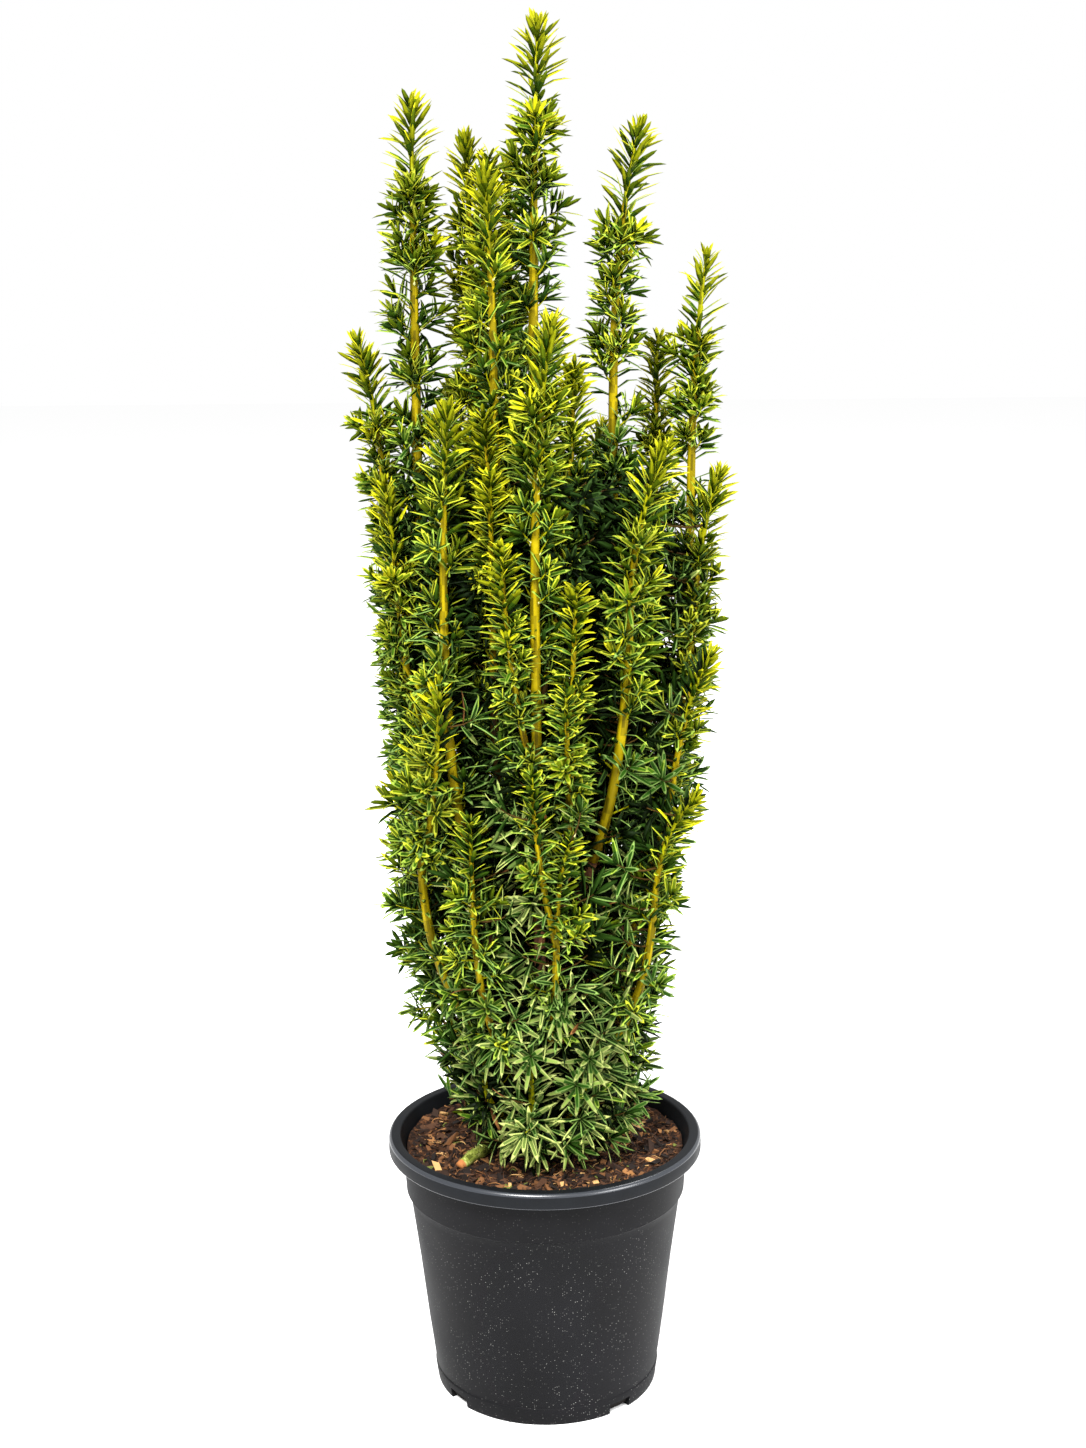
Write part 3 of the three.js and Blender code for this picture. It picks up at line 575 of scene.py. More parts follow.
def tubes(paths, radii, sides):
    """Round tubes along paths: paths is (tubes, stations, 3) and radii (tubes, stations).

    At each station the ring stands square to the path. Returns the vertices, the four-sided faces and the
    end caps.
    """
    count, stations = radii.shape
    tangent = unit(np.gradient(paths, axis=1))
    general = unit(paths[:, -1] - paths[:, 0])
    reference = np.where(np.abs(general[:, :1]) > 0.7, (0.0, 1.0, 0.0), (1.0, 0.0, 0.0))[:, None]
    across = unit(reference - (reference * tangent).sum(-1, keepdims=True) * tangent)
    third = np.cross(tangent, across)
    angle = np.linspace(0.0, 2.0 * np.pi, sides, endpoint=False)[:, None]
    ring = across[:, :, None] * np.cos(angle) + third[:, :, None] * np.sin(angle)
    vertices = paths[:, :, None] + radii[:, :, None, None] * ring
    start = np.arange(count)[:, None] * stations * sides
    first_cap = np.arange(sides)[::-1] + start
    last_cap = np.arange(sides) + (stations - 1) * sides + start
    faces = repeated(ring_faces(stations, sides), count, stations * sides)
    return vertices.reshape(-1, 3), faces, np.concatenate([first_cap, last_cap])


at = np.linspace(0.0, 1.0, STUB_STATIONS)
knots = np.linspace(0.0, 1.0, len(STUB_POINTS))
stub_path = np.stack([np.interp(at, knots, axis) for axis in np.array(STUB_POINTS, float).T], axis=-1)
stub_radius = np.interp(at, knots, STUB_RADII)
stub_vertices, stub_faces, stub_caps = tubes(stub_path[None], stub_radius[None], STUB_SIDES)
stub_middle = np.repeat(stub_path, STUB_SIDES, axis=0)
lumps = sum(rise * ripple(stub_vertices, length, seed) for rise, length, seed in STUB_LUMPS)
stub_vertices = stub_middle + (stub_vertices - stub_middle) * (1.0 + lumps)[:, None]
stub_materials = [
    new_material(name, colour, 0.9, 0.1)[0] for name, colour in (
        ("moss_dark", (84, 92, 32)), ("moss_green", (124, 134, 54)), ("moss_pale", (162, 166, 90)),
        ("broken_wood", (168, 108, 62)),
    )
]
WOOD_SLOT = len(stub_materials) - 1
stub_patch = ripple(stub_vertices[stub_faces].mean(axis=1), MOSS_PATCH, MOSS_PATCH_SEED)
stub_slots = np.searchsorted(MOSS_PATCH_BOUNDS, stub_patch)
stub_slots[-CUT_END_RINGS * STUB_SIDES:] = WOOD_SLOT
leaf_at = litter.integers(*LEAF_STATIONS, MOSS_LEAVES)
leaf_angle = litter.uniform(0.0, 2.0 * np.pi, MOSS_LEAVES)
leaf_rise = np.abs(np.sin(leaf_angle)) + 0.2  # none points down into the soil
leaf_way = unit(np.stack([np.cos(leaf_angle), 0.6 * np.sin(leaf_angle), leaf_rise], axis=-1))
leaf_root = stub_path[leaf_at] + leaf_way * (LEAF_DEPTH * stub_radius[leaf_at])[:, None]
leaf_side = unit(np.cross(leaf_way, litter.normal(size=(MOSS_LEAVES, 3))))
leaf_length = litter.uniform(*LEAF_LENGTHS, MOSS_LEAVES)[:, None]
leaf_third = np.cross(leaf_way, leaf_side)
leaf_foot = [leaf_root + leaf_side * a + leaf_third * b for a, b in LEAF_FOOT]
leaf_vertices = np.stack([*leaf_foot, leaf_root + leaf_way * leaf_length], axis=1)
leaf_faces = repeated(LEAF_FACES, MOSS_LEAVES, len(LEAF_FACES)) + len(stub_vertices)
leaf_slots = np.repeat(litter.integers(0, WOOD_SLOT, MOSS_LEAVES), len(LEAF_FACES))
stub = add_mesh(
    "mossy_stub", np.concatenate([stub_vertices, leaf_vertices.reshape(-1, 3)]),
    [stub_faces, stub_caps, leaf_faces], [stub_slots, np.array([0, WOOD_SLOT]), leaf_slots], stub_materials,
)
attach(stub, "root")
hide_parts("soil")

# ---- Root fibres ------------------------------------------------------------------------------------
# Fine dry roots and splinters out of the mix, about a millimetre thick and as long as a fingertip. They lie
# loose on the soil in shallow curves, with their middles a little off it.

FIBRE_COUNT = 450
FIBRE_LENGTHS = (5.0, 17.0)
FIBRE_BEND = 1.1  # spread of the turn that one makes from end to end, in radians
FIBRE_RADII = (0.25, 0.7)
FIBRE_TAPER = np.array([0.5, 1.0, 1.0, 0.9, 0.7, 0.3])
FIBRE_SIDES = 4
FIBRE_RISE = 0.9  # above the soil, and as much again and more at the middle
FIBRE_ARCH = 1.4
FIBRE_INNER_RADIUS = 8.0
FIBRE_WALL_GAP = 8.0
FIBRE_END_GAP = 2.5  # no part of one comes nearer to the wall than this
FIBRE_SHARES = [0.12, 0.2, 0.25, 0.2, 0.13, 0.07, 0.03]

fibre_steps = len(FIBRE_TAPER) - 1
step = np.linspace(0.0, 1.0, len(FIBRE_TAPER))
fibre_x, fibre_y = scattered(FIBRE_COUNT, FIBRE_INNER_RADIUS, soil_edge - FIBRE_WALL_GAP)
fibre_bearing = litter.uniform(0.0, 2.0 * np.pi, FIBRE_COUNT)
fibre_bend = litter.normal(0.0, FIBRE_BEND, FIBRE_COUNT)
fibre_step = litter.uniform(*FIBRE_LENGTHS, FIBRE_COUNT)[:, None] / fibre_steps
fibre_heading = fibre_bearing[:, None] + fibre_bend[:, None] * step
path_x = fibre_x[:, None] + np.cumsum(np.cos(fibre_heading), axis=1) * fibre_step
path_y = fibre_y[:, None] + np.cumsum(np.sin(fibre_heading), axis=1) * fibre_step
inside = np.minimum((soil_edge - FIBRE_END_GAP) / np.hypot(path_x, path_y), 1.0)
path_x = path_x * inside
path_y = path_y * inside
path_z = soil_height(path_x, path_y) + FIBRE_RISE + FIBRE_ARCH * np.sin(np.pi * step)
fibre_radius = litter.uniform(*FIBRE_RADII, FIBRE_COUNT)[:, None] * FIBRE_TAPER
fibre_vertices, fibre_faces, fibre_caps = tubes(
    np.stack([path_x, path_y, path_z], axis=-1), fibre_radius, FIBRE_SIDES,
)
fibre_kind = litter.choice(len(FLAKE_COLOURS), FIBRE_COUNT, p=FIBRE_SHARES)
fibre_slots = [np.repeat(fibre_kind, fibre_steps * FIBRE_SIDES), np.tile(fibre_kind, 2)]
fibres = add_mesh("root_fibres", fibre_vertices, [fibre_faces, fibre_caps], fibre_slots, litter_materials)
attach(fibres, "root")
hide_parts("soil")

# ---- Trunk and boughs -------------------------------------------------------------------------------
# The trunk stands in the soil on a low root flare, eases over to one side and tapers to its tip. The boughs
# leave it at different heights, sweep outwards and turn upright. Their bark is thin, red-brown and flaking.

TRUNK_FOOT = SOIL_TOP + SOIL_GAP
TRUNK_FLARE_RADIUS = 24.0
TRUNK_FLARE_HEIGHT = 12.0
TRUNK_RADIUS = 15.0
TRUNK_TIP_RADIUS = 6.0
TRUNK_TOP = 760.0
TRUNK_LEAN = (-4.0, 5.0)
TRUNK_SIDES = 36
TRUNK_RINGS = 170
ROOT_LOBES = 5  # round the flare
ROOT_LOBE_RISE = 0.16  # of the radius
ROOT_LOBE_TURN = 0.6  # radians
BOUGH_ROOT_RADIUS = 6.2
BOUGH_TIP_RADIUS = 4.2
BOUGH_FOOT = 2.0  # its mesh starts this far above the middle of its fork, inside the trunk
BOUGH_SIDES = 12
BOUGH_RINGS = 40
BOUGH_SHARE = 0.22  # of a bough's height from fork to tip, which is bare bough below its foliage
TALL_RISE = 3.6  # height over which a bough turns upright, for each millimetre that it goes outwards
HOOK = 0.4  # share of a limb's height, at its tip, over which it leans

# name, plan position of the upright part (x, y), height of the tip, lean of the tip (x, y), reach of the
# needles, height at which the limb leaves the trunk
TALL_LEADERS = [
    ("left_tall", -102, 5, 1133, 1, 0, 32, 470),
    ("left_inner", -36, -30, 1075, -6, 0, 30, 440),
    ("left_inner_back", -55, 45, 1108, -5, 10, 28, 405),
    ("right_tall", 63, 20, 1113, 25, 0, 32, 415),
    ("right_outer", 131, 45, 1010, 14, 0, 29, 350),
    ("right_back", 102, 78, 945, 3, 5, 24, 380),
    ("left_outer", -130, 20, 944, -26, 0, 26, 360),
    ("centre_front", -4, -100, 958, 18, 0, 32, 305),
    ("left_front", -78, -85, 890, 7, 0, 32, 330),
    ("centre_left", -39, -62, 886, -7, 12, 24, 410),
    ("left_side", -119, -30, 827, -11, 0, 27, 385),
    ("right_front", 73, -80, 857, 37, 0, 32, 395),
    ("right_side", 130, 0, 832, 27, 0, 29, 320),
    ("right_low", 118, -46, 688, 32, -4, 25, 290),
    ("front_right", 26, -106, 753, 5, 0, 22, 365),
    ("back_centre", -24, 60, 1087, 0, 0, 29, 435),
    ("back_far", -15, 122, 830, 0, 10, 30, 305),
    ("back_right", 48, 115, 865, 10, 8, 30, 330),
    ("back_left", -70, 105, 900, -10, 8, 30, 345),
    ("left_back", -116, 64, 780, -18, 8, 29, 285),
]


def new_limb(row, rise, bare_share):
    """A limb from a row of the lists. bare_share is the part of its height that carries no foliage."""
    name, x, y, top, lean_x, lean_y, reach, fork = row
    return {
        "name": name, "place": (x, y), "top": top, "lean": (lean_x, lean_y), "reach": reach, "fork": fork,
        "rise": rise, "start": fork + bare_share * (top - fork),
    }


def trunk_axis(z):
    """The trunk's centre at heights z: upright at the soil, easing over to its lean by a smooth step."""
    share = np.clip((np.asarray(z, float) - SOIL_TOP) / (TRUNK_TOP - SOIL_TOP), 0.0, 1.0)
    ease = share**2 * (3.0 - 2.0 * share)
    return np.stack([TRUNK_LEAN[0] * ease, TRUNK_LEAN[1] * ease, np.asarray(z, float)], axis=-1)


def trunk_radius(z):
    """The trunk's radius at heights z: a root flare that dies away, then an even taper."""
    share = np.clip((z - SOIL_TOP) / (TRUNK_TOP - SOIL_TOP), 0.0, 1.0)
    flare = (TRUNK_FLARE_RADIUS - TRUNK_RADIUS) * np.exp(-(z - SOIL_TOP) / TRUNK_FLARE_HEIGHT)
    return flare + TRUNK_RADIUS + (TRUNK_TIP_RADIUS - TRUNK_RADIUS) * share


def limb_axis(limb, z):
    """A limb's centre at heights z: outwards by 1 - (1 - s)^3, upright, then over to the tip's lean."""
    start = trunk_axis(limb["fork"])
    rise = limb["rise"] * np.hypot(*limb["place"])
    out = (1.0 - (1.0 - np.clip((z - limb["fork"]) / rise, 0.0, 1.0)) ** 3)[:, None]
    hook = HOOK * (limb["top"] - limb["fork"])
    lean = (np.clip((z - limb["top"] + hook) / hook, 0.0, 1.0) ** 3)[:, None]
    level = start[:2] * (1.0 - out) + np.array(limb["place"]) * out + np.array(limb["lean"]) * lean
    return np.concatenate([level, z[:, None]], axis=1)


def with_bark(vertices, centre, squash, broad, fine, lobes=0.0):
    """A limb's vertices moved out from its centre line by broad noise and folded fine noise.

    Each noise is (share of the radius, length, seed) and is drawn out along the limb, by one over the squash.
    """
    stretched = vertices * (1.0, 1.0, squash)
    relief = broad[0] * ripple(stretched, *broad[1:]) + fine[0] * np.abs(ripple(stretched, *fine[1:])) + lobes
    return centre + (vertices - centre) * (1.0 + relief)[:, None]


def flaking_bark():
    """The finish of old bark: thin flakes in four browns, drawn out along the limbs, with relief to match."""
    material, shader = new_material("flaking_bark", (98, 62, 40), 0.85, 0.25)
    place = add_node(material, "ShaderNodeTexCoord")
    drawn_out = add_node(material, "ShaderNodeMapping", Scale=(1.0, 1.0, 0.18))
    link(material, place, "Object", drawn_out, "Vector")
    flaking = add_noise(material, drawn_out, "Vector", 170.0, 5.0, 0.65)
    colour = add_ramp(material, flaking, "Fac", [
        (0.3, (48, 30, 20)), (0.5, (98, 62, 38)), (0.66, (150, 98, 56)), (0.8, (120, 96, 70)),
    ])
    link(material, colour, "Color", shader, "Base Color")
    add_bump(material, shader, flaking, 0.7, 0.0015)
    return material


trunk_z = np.linspace(TRUNK_FOOT, TRUNK_TOP, TRUNK_RINGS)
smooth_trunk, trunk_faces, trunk_caps = tubes(
    trunk_axis(trunk_z)[None], trunk_radius(trunk_z)[None], TRUNK_SIDES,
)
trunk_centre = np.repeat(trunk_axis(trunk_z), TRUNK_SIDES, axis=0)
from_centre = smooth_trunk - trunk_centre
flare_share = np.exp(-(smooth_trunk[:, 2] - SOIL_TOP) / (2.0 * TRUNK_FLARE_HEIGHT))
lobe_wave = np.sin(ROOT_LOBES * np.arctan2(from_centre[:, 1], from_centre[:, 0]) + ROOT_LOBE_TURN)
lobes = ROOT_LOBE_RISE * flare_share * lobe_wave
trunk_vertices = with_bark(smooth_trunk, trunk_centre, 0.22, (0.05, 12.0, 31), (0.035, 5.0, 32), lobes)
trunk_vertices[:TRUNK_SIDES, 2] = TRUNK_FOOT
trunk_vertices[-TRUNK_SIDES:] = smooth_trunk[-TRUNK_SIDES:]
old_bark = flaking_bark()
trunk = add_mesh("trunk_bark", trunk_vertices, [trunk_faces, trunk_caps], materials=[old_bark])
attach(trunk, "root")
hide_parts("trunk")

boughs = [new_limb(row, TALL_RISE, BOUGH_SHARE) for row in TALL_LEADERS]
bough_paths = np.stack([
    limb_axis(bough, np.linspace(bough["fork"] + BOUGH_FOOT, bough["start"], BOUGH_RINGS)) for bough in boughs
])
bough_taper = np.linspace(BOUGH_ROOT_RADIUS, BOUGH_TIP_RADIUS, BOUGH_RINGS)
bough_vertices, bough_faces, bough_caps = tubes(
    bough_paths, np.broadcast_to(bough_taper, bough_paths.shape[:2]), BOUGH_SIDES,
)
bough_centre = np.repeat(bough_paths.reshape(-1, 3), BOUGH_SIDES, axis=0)
bough_vertices = with_bark(bough_vertices, bough_centre, 0.3, (0.06, 9.0, 33), (0.04, 4.0, 34))
bough_piece = add_mesh("bough_bark", bough_vertices, [bough_faces, bough_caps], materials=[old_bark])
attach(bough_piece, "root")
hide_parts(*[f"bough_{bough['name']}" for bough in boughs])

# ---- Stems and twigs --------------------------------------------------------------------------------
# Each bough carries a leader: a stem with this and last year's growth, golden yellow and smooth where young,
# ochre and then brown below. Short spurs stand out of it all round by the golden angle, crowded in whorls,
# and longer side twigs of the lower limbs fill the plant out to its surface.

CENTRE_TOP = 1192.0
CENTRE_LEAN = 7.0
CENTRE_REACH = 33.0
SHORT_RISE = 2.3
SKIRT_RISE = 1.1
STEM_STEP = 7.0
STEM_SIDES = 10
STEM_TIP_RADIUS = 1.2
STEM_FULL_RADIUS = 4.6
STEM_FULL_REACH = 28.0  # a leader whose needles reach less far than this is thinner
SHOOT_FULL_RADIUS = 3.0
STEM_THICKENS_OVER = 150.0
CENTRE_THICKENS_OVER = 1000.0
TUFT_RISE = 17.0  # the topmost needles stand this far above the stem's tip
HEIGHT_STEP = 2.0  # between the points at which a stem's line is first worked out
LEVEL = 5.0  # height between the levels at which the limbs' places are looked up
grow = np.random.default_rng(5)

# the same as for the tall leaders, for those that grow straight from the trunk
SHORT_LEADERS = [
    ("right_bottom", 95, -68, 571, 47, -8, 27, 255),
    ("front_low", 12, -115, 548, 18, -5, 24, 285),
    ("left_low", -103, -60, 670, 24, 0, 31, 275),
    ("front_left_low", -58, -103, 562, -1, -2, 24, 255),
    ("back_low_left", -92, 78, 600, -14, 12, 29, 270),
    ("back_low", 8, 118, 550, 2, 14, 29, 260),
    ("back_low_right", 84, 84, 620, 16, 12, 29, 275),
    ("left_low_back", -114, 8, 575, -18, 0, 27, 245),
]

# owner, height at which the side shoot leaves the leader's stem, its tip (x, y, z), reach
SIDE_SHOOTS = [
    ("left_inner_back", 910, -39, 18, 1094, 24),
    ("centre_front", 620, 29, -56, 925, 24),
    ("centre_front", 570, -30, -113, 785, 22),
    ("centre_left", 720, -39, -90, 842, 22),
    ("front_right", 560, 20, -127, 672, 20),
    ("front_low", 440, -8, -124, 606, 20),
    ("left_low", 490, -82, -104, 672, 25),
]

# the skirt's stems: bearing in degrees from +X, and the height at which the stem leaves the trunk
SKIRT = [(5, 240), (65, 230), (113, 240), (158, 225), (222, 235), (261, 225), (300, 240)]
SKIRT_RADIUS = 70.0
SKIRT_TOP = 350.0
SKIRT_LEAN = 8.0
SKIRT_REACH = 38.0


def shoot_axis(owner, fork, tip, z):
    """A side shoot's centre at heights z: out of its owner's stem by 1 - (1 - s)^2, turning upright."""
    share = np.clip((z - fork) / (tip[2] - fork), 0.0, 1.0)
    out = (1.0 - (1.0 - share) ** 2)[:, None]
    start = limb_axis(owner, np.array([float(fork)]))[0]
    return np.concatenate([start[:2] + (np.array(tip[:2]) - start[:2]) * out, z[:, None]], axis=1)


def centre_axis(z):
    """The centre leader's centre at heights z: it carries the trunk on, and its tip leans back by a cube."""
    share = np.clip((z - TRUNK_TOP) / (CENTRE_TOP - TRUNK_TOP), 0.0, 1.0)
    tip = trunk_axis(TRUNK_TOP)
    return np.stack([tip[0] + CENTRE_LEAN * share**3, np.full_like(z, tip[1]), z], axis=-1)


def evenly(line, step):
    """A line of points with its points moved to lie about a step apart along it, and the line's length."""
    lengths = np.concatenate([[0.0], np.cumsum(np.linalg.norm(np.diff(line, axis=0), axis=1))])
    at = np.linspace(0.0, lengths[-1], max(int(lengths[-1] / step), 2) + 1)
    return np.stack([np.interp(at, lengths, line[:, k]) for k in range(3)], axis=-1), lengths[-1]


def heights(low, top):
    """Heights at small even steps from a stem's foot to its tip, which stands below the top of its tuft."""
    tip = top - TUFT_RISE
    return np.linspace(low, tip, int((tip - low) / HEIGHT_STEP) + 2)


def new_stem(mass, line, reach, place, base_radius, is_shoot=False):
    """A stem from its line of points, which is turned to run down from its tip in even steps."""
    line, length = evenly(line[::-1], STEM_STEP)
    return {
        "mass": mass, "line": line, "length": length, "reach": reach, "place": place,
        "base_radius": base_radius, "is_shoot": is_shoot, "is_skirt": mass.startswith("skirt"),
    }


short_limbs = [new_limb(row, SHORT_RISE, 0.0) for row in SHORT_LEADERS]
for number, (degrees, fork) in enumerate(SKIRT):
    way = np.array([np.cos(np.radians(degrees)), np.sin(np.radians(degrees))])
    row = (f"skirt_{number + 1}", *(SKIRT_RADIUS * way), SKIRT_TOP, *(SKIRT_LEAN * way), SKIRT_REACH, fork)
    short_limbs.append(new_limb(row, SKIRT_RISE, 0.0))

centre_line = centre_axis(heights(TRUNK_TOP, CENTRE_TOP))
stems = [new_stem("centre_leader", centre_line, CENTRE_REACH, (0.0, 0.0), TRUNK_TIP_RADIUS)]
for limb in boughs + short_limbs:
    line = limb_axis(limb, heights(limb["start"], limb["top"]))
    base_radius = STEM_FULL_RADIUS * min(limb["reach"] / STEM_FULL_REACH, 1.0)
    stems.append(new_stem(limb["name"], line, limb["reach"], limb["place"], base_radius))
    for owner, fork, x, y, z, reach in SIDE_SHOOTS:
        if owner == limb["name"]:
            line = shoot_axis(limb, fork, (x, y, z), heights(fork, z))
            stems.append(new_stem(owner, line, reach, limb["place"], SHOOT_FULL_RADIUS, is_shoot=True))
stem_masses = [stem["mass"] for stem in stems]  # a leader comes before its side shoots


def on_stem(stem, below):
    """Points and upward directions on a stem, at distances below its tip."""
    at = np.linspace(0.0, stem["length"], len(stem["line"]))
    slope = -np.gradient(stem["line"], axis=0)
    point = np.stack([np.interp(below, at, stem["line"][:, k]) for k in range(3)], axis=-1)
    return point, unit(np.stack([np.interp(below, at, slope[:, k]) for k in range(3)], axis=-1))


def stem_radius(stem, below):
    """A stem's radius: from its tip it thickens quickly, then ever more slowly, as 1 - exp(-d / length)."""
    over = CENTRE_THICKENS_OVER if stem["mass"] == "centre_leader" else STEM_THICKENS_OVER
    thick = (1.0 - np.exp(-below / over)) / (1.0 - np.exp(-stem["length"] / over))
    return STEM_TIP_RADIUS + (stem["base_radius"] - STEM_TIP_RADIUS) * thick


# where the limbs are: the place and radius of each at each level, far away at a level that it doesn't pass
levels = np.arange(SOIL_TOP, CENTRE_TOP, LEVEL)
level_place = np.full((len(levels), len(stems), 2), np.inf)
level_radius = np.zeros((len(levels), len(stems)))


def enter_levels(column, line, radius):
    """Writes where a limb is, and how thick, at each level that it passes."""
    order = np.argsort(line[:, 2])
    here = (levels >= line[:, 2].min()) & (levels <= line[:, 2].max())
    for axis in range(2):
        level_place[here, column, axis] = np.interp(levels[here], line[order, 2], line[order, axis])
    level_radius[here, column] = np.interp(levels[here], line[order, 2], radius[order])


enter_levels(0, trunk_axis(trunk_z), trunk_radius(trunk_z))
for column, stem in enumerate(stems):
    below = np.linspace(0.0, stem["length"], len(stem["line"]))
    enter_levels(column, stem["line"], stem_radius(stem, below))
for bough, path in zip(boughs, bough_paths):
    enter_levels(stem_masses.index(bough["name"]), path, bough_taper)


def level_at(z):
    """The number of the level nearest to each height."""
    return np.clip(((z - SOIL_TOP) / LEVEL + 0.5).astype(int), 0, len(levels) - 1)


def from_limbs(points, level):
    """How far points are, in plan, from the middle of every limb at some levels."""
    return np.linalg.norm(points[:, None, :2] - level_place[level], axis=2)


def room(points, own):
    """How far points are, in plan, from the bark of the nearest limb at their level other than their own."""
    level = level_at(points[:, 2])
    away = from_limbs(points, level) - level_radius[level]
    away[np.arange(len(points)), own] = np.inf
    return away.min(axis=1)


def square_frame(direction):
    """Two unit vectors square to each direction and to each other."""
    reference = np.where(np.abs(direction[:, :1]) > 0.8, (0.0, 1.0, 0.0), (1.0, 0.0, 0.0))
    first = unit(reference - (reference * direction).sum(-1, keepdims=True) * direction)
    return first, np.cross(direction, first)


def outward_from(along, bearing):
    """Directions square to a stem or twig: cos(b) and sin(b) times the two of its frame, at bearings b."""
    first, second = square_frame(along)
    return first * np.cos(bearing)[:, None] + second * np.sin(bearing)[:, None]


def bent(root, direction, normal, length, bend, share):
    """Points on circular arcs: each leaves its root along a direction and turns towards a normal by its bend.

    At a share t of the length L the point is root + L/b (sin(bt) direction + (1 - cos(bt)) normal). Returns
    the points, the directions and the normals there.
    """
    safe = np.where(np.abs(bend) < 1e-3, 1e-3, bend)[:, None]
    ahead = (np.sin(safe * share) / safe * length[:, None])[..., None]
    aside = ((1.0 - np.cos(safe * share)) / safe * length[:, None])[..., None]
    cos, sin = np.cos(safe * share)[..., None], np.sin(safe * share)[..., None]
    root, direction, normal = root[:, None], direction[:, None], normal[:, None]
    point = root + ahead * direction + aside * normal
    return point, cos * direction + sin * normal, cos * normal - sin * direction


ARC = ("root", "direction", "normal", "length", "bend")  # what makes a spray or needle an arc


GOLDEN_ANGLE = np.radians(137.5)
START_TURN = 6.3  # a first bearing is anything up to this, about a full turn in radians
FULL_REACH = 32.0  # of the needles; a leader with a smaller reach has smaller spurs and needles
LOW_HEIGHT = 640.0  # below this the plant is closed and its twigs are fewer and longer
LOW_OVER = 80.0  # height over which that comes about

# Ages count from 0 at a leader's tip to 4 at the foot of the plant. Two more are painted shade: dark green
# for growth in half shade and near-black for growth deep inside.
LOWEST_AGE = 4.0
OLDEST_AGE = 4.4
SHADE_AGE = 5.0  # painted half shade: dark green for growth that the rest of the plant shades
DEEP_SHADE_AGE = 6.0  # painted deep shade: near-black for the growth inside
PAINTED_LIGHT_AGE_SHARES = {"left_inner_back": 0.4, "right_back": 0.4}  # leaders given younger, lighter colours at every height: painted light against the shadow that the leaders in front cast on them

# stem, lowest and highest height at which its front is bare, share of its side spurs that is missing there
BARE_VIEWS = [
    ("centre_front", 590, 800, 0.1), ("right_front", 490, 672, 0.1), ("left_front", 690, 800, 0.1),
    ("centre_left", 590, 740, 0.1), ("centre_leader", 940, 1005, 0.2), ("left_tall", 872, 955, 0.4),
    ("left_inner", 893, 965, 0.3), ("right_tall", 842, 955, 0.5), ("right_outer", 935, 985, 0.3),
    ("right_outer", 775, 830, 0.4),
]
BARE_HALF_ANGLE = np.radians(42.0)
BARE_SPACE = 7.0  # no twig ends right in front of a bare stem, nearer to its middle than this
BARE_SPURS = 0.3  # share of the spurs that stand in front all the same
BARE_NEEDLES = 0.12  # and share of the stem's own needles
BARE_THINNING = 0.1  # share of the stem's own needles at the sides and back that is missing there too


def lowness(z):
    """How far down in the closed part of the plant heights are: 0 above it, 1 from a little below its top."""
    return np.clip((LOW_HEIGHT - z) / LOW_OVER, 0.0, 1.0)


def is_bare(stem, point, outward, is_spur):
    """Whether spurs or needles are missing where a stem shows bare: most in front of it, some elsewhere."""
    bare = np.full(len(point), False)
    for mass, low, high, missing in BARE_VIEWS:
        if stem["mass"] == mass and not stem["is_shoot"]:
            kept = BARE_SPURS if is_spur else BARE_NEEDLES
            is_front = (-outward[:, 1] > np.cos(BARE_HALF_ANGLE)) & (grow.uniform(size=len(point)) > kept)
            is_thinned = grow.uniform(size=len(point)) < (missing if is_spur else BARE_THINNING)
            bare |= (point[:, 2] > low) & (point[:, 2] < high) & (is_front | is_thinned)
    return bare


SPUR_FIRST = 70.0  # distance of the topmost spur below the stem's tip, and how much that varies
SPUR_FIRST_SPREAD = (-4.0, 12.0)
SPUR_LAST = 4.0  # distance of the lowest one above the stem's foot
SPUR_NEAREST = 40.0  # none is scattered nearer to the tip than this
SPUR_SPACING = 4.6
SPUR_SCATTER = 1.0
SPUR_TURN_SPREAD = 0.25  # radians
WHORL_SPACING = 48.0
WHORL_CROWDING = 1.0
LOW_THINNING = 0.6  # share of the spurs that is missing low down
SPUR_AGES = ([SPUR_FIRST, 150.0, 320.0, 460.0], [0.9, 1.6, 2.6, 3.6])  # distances below the tip, ages there
LOW_AGEING = 0.4
SPUR_AGE_SPREAD = 0.3
SPUR_LIFT_SPREAD = 10.0
SPUR_LENGTHS = (0.6, 1.3)  # shares of the usual length
SPUR_BENDS = (0.1, 0.7)
SPUR_RADIUS = 1.1
SPUR_TIP = 12.0  # needles stand on this much of a spur, from its tip down
SPUR_NEEDLES = (12, 17)  # from, and up to but not including

# each a value high on the plant, and what is added to it low down
SPUR_LIFT = (34.0, -12.0)  # degrees
SPUR_LENGTH = (17.0, 4.0)
SPUR_NEEDLE_LENGTH = (23.5, 4.5)
SPUR_NEEDLE_WIDTH = (4.1, 0.4)
SPUR_YOUTH = (1.9, -0.7)  # how much younger its tip is than its foot

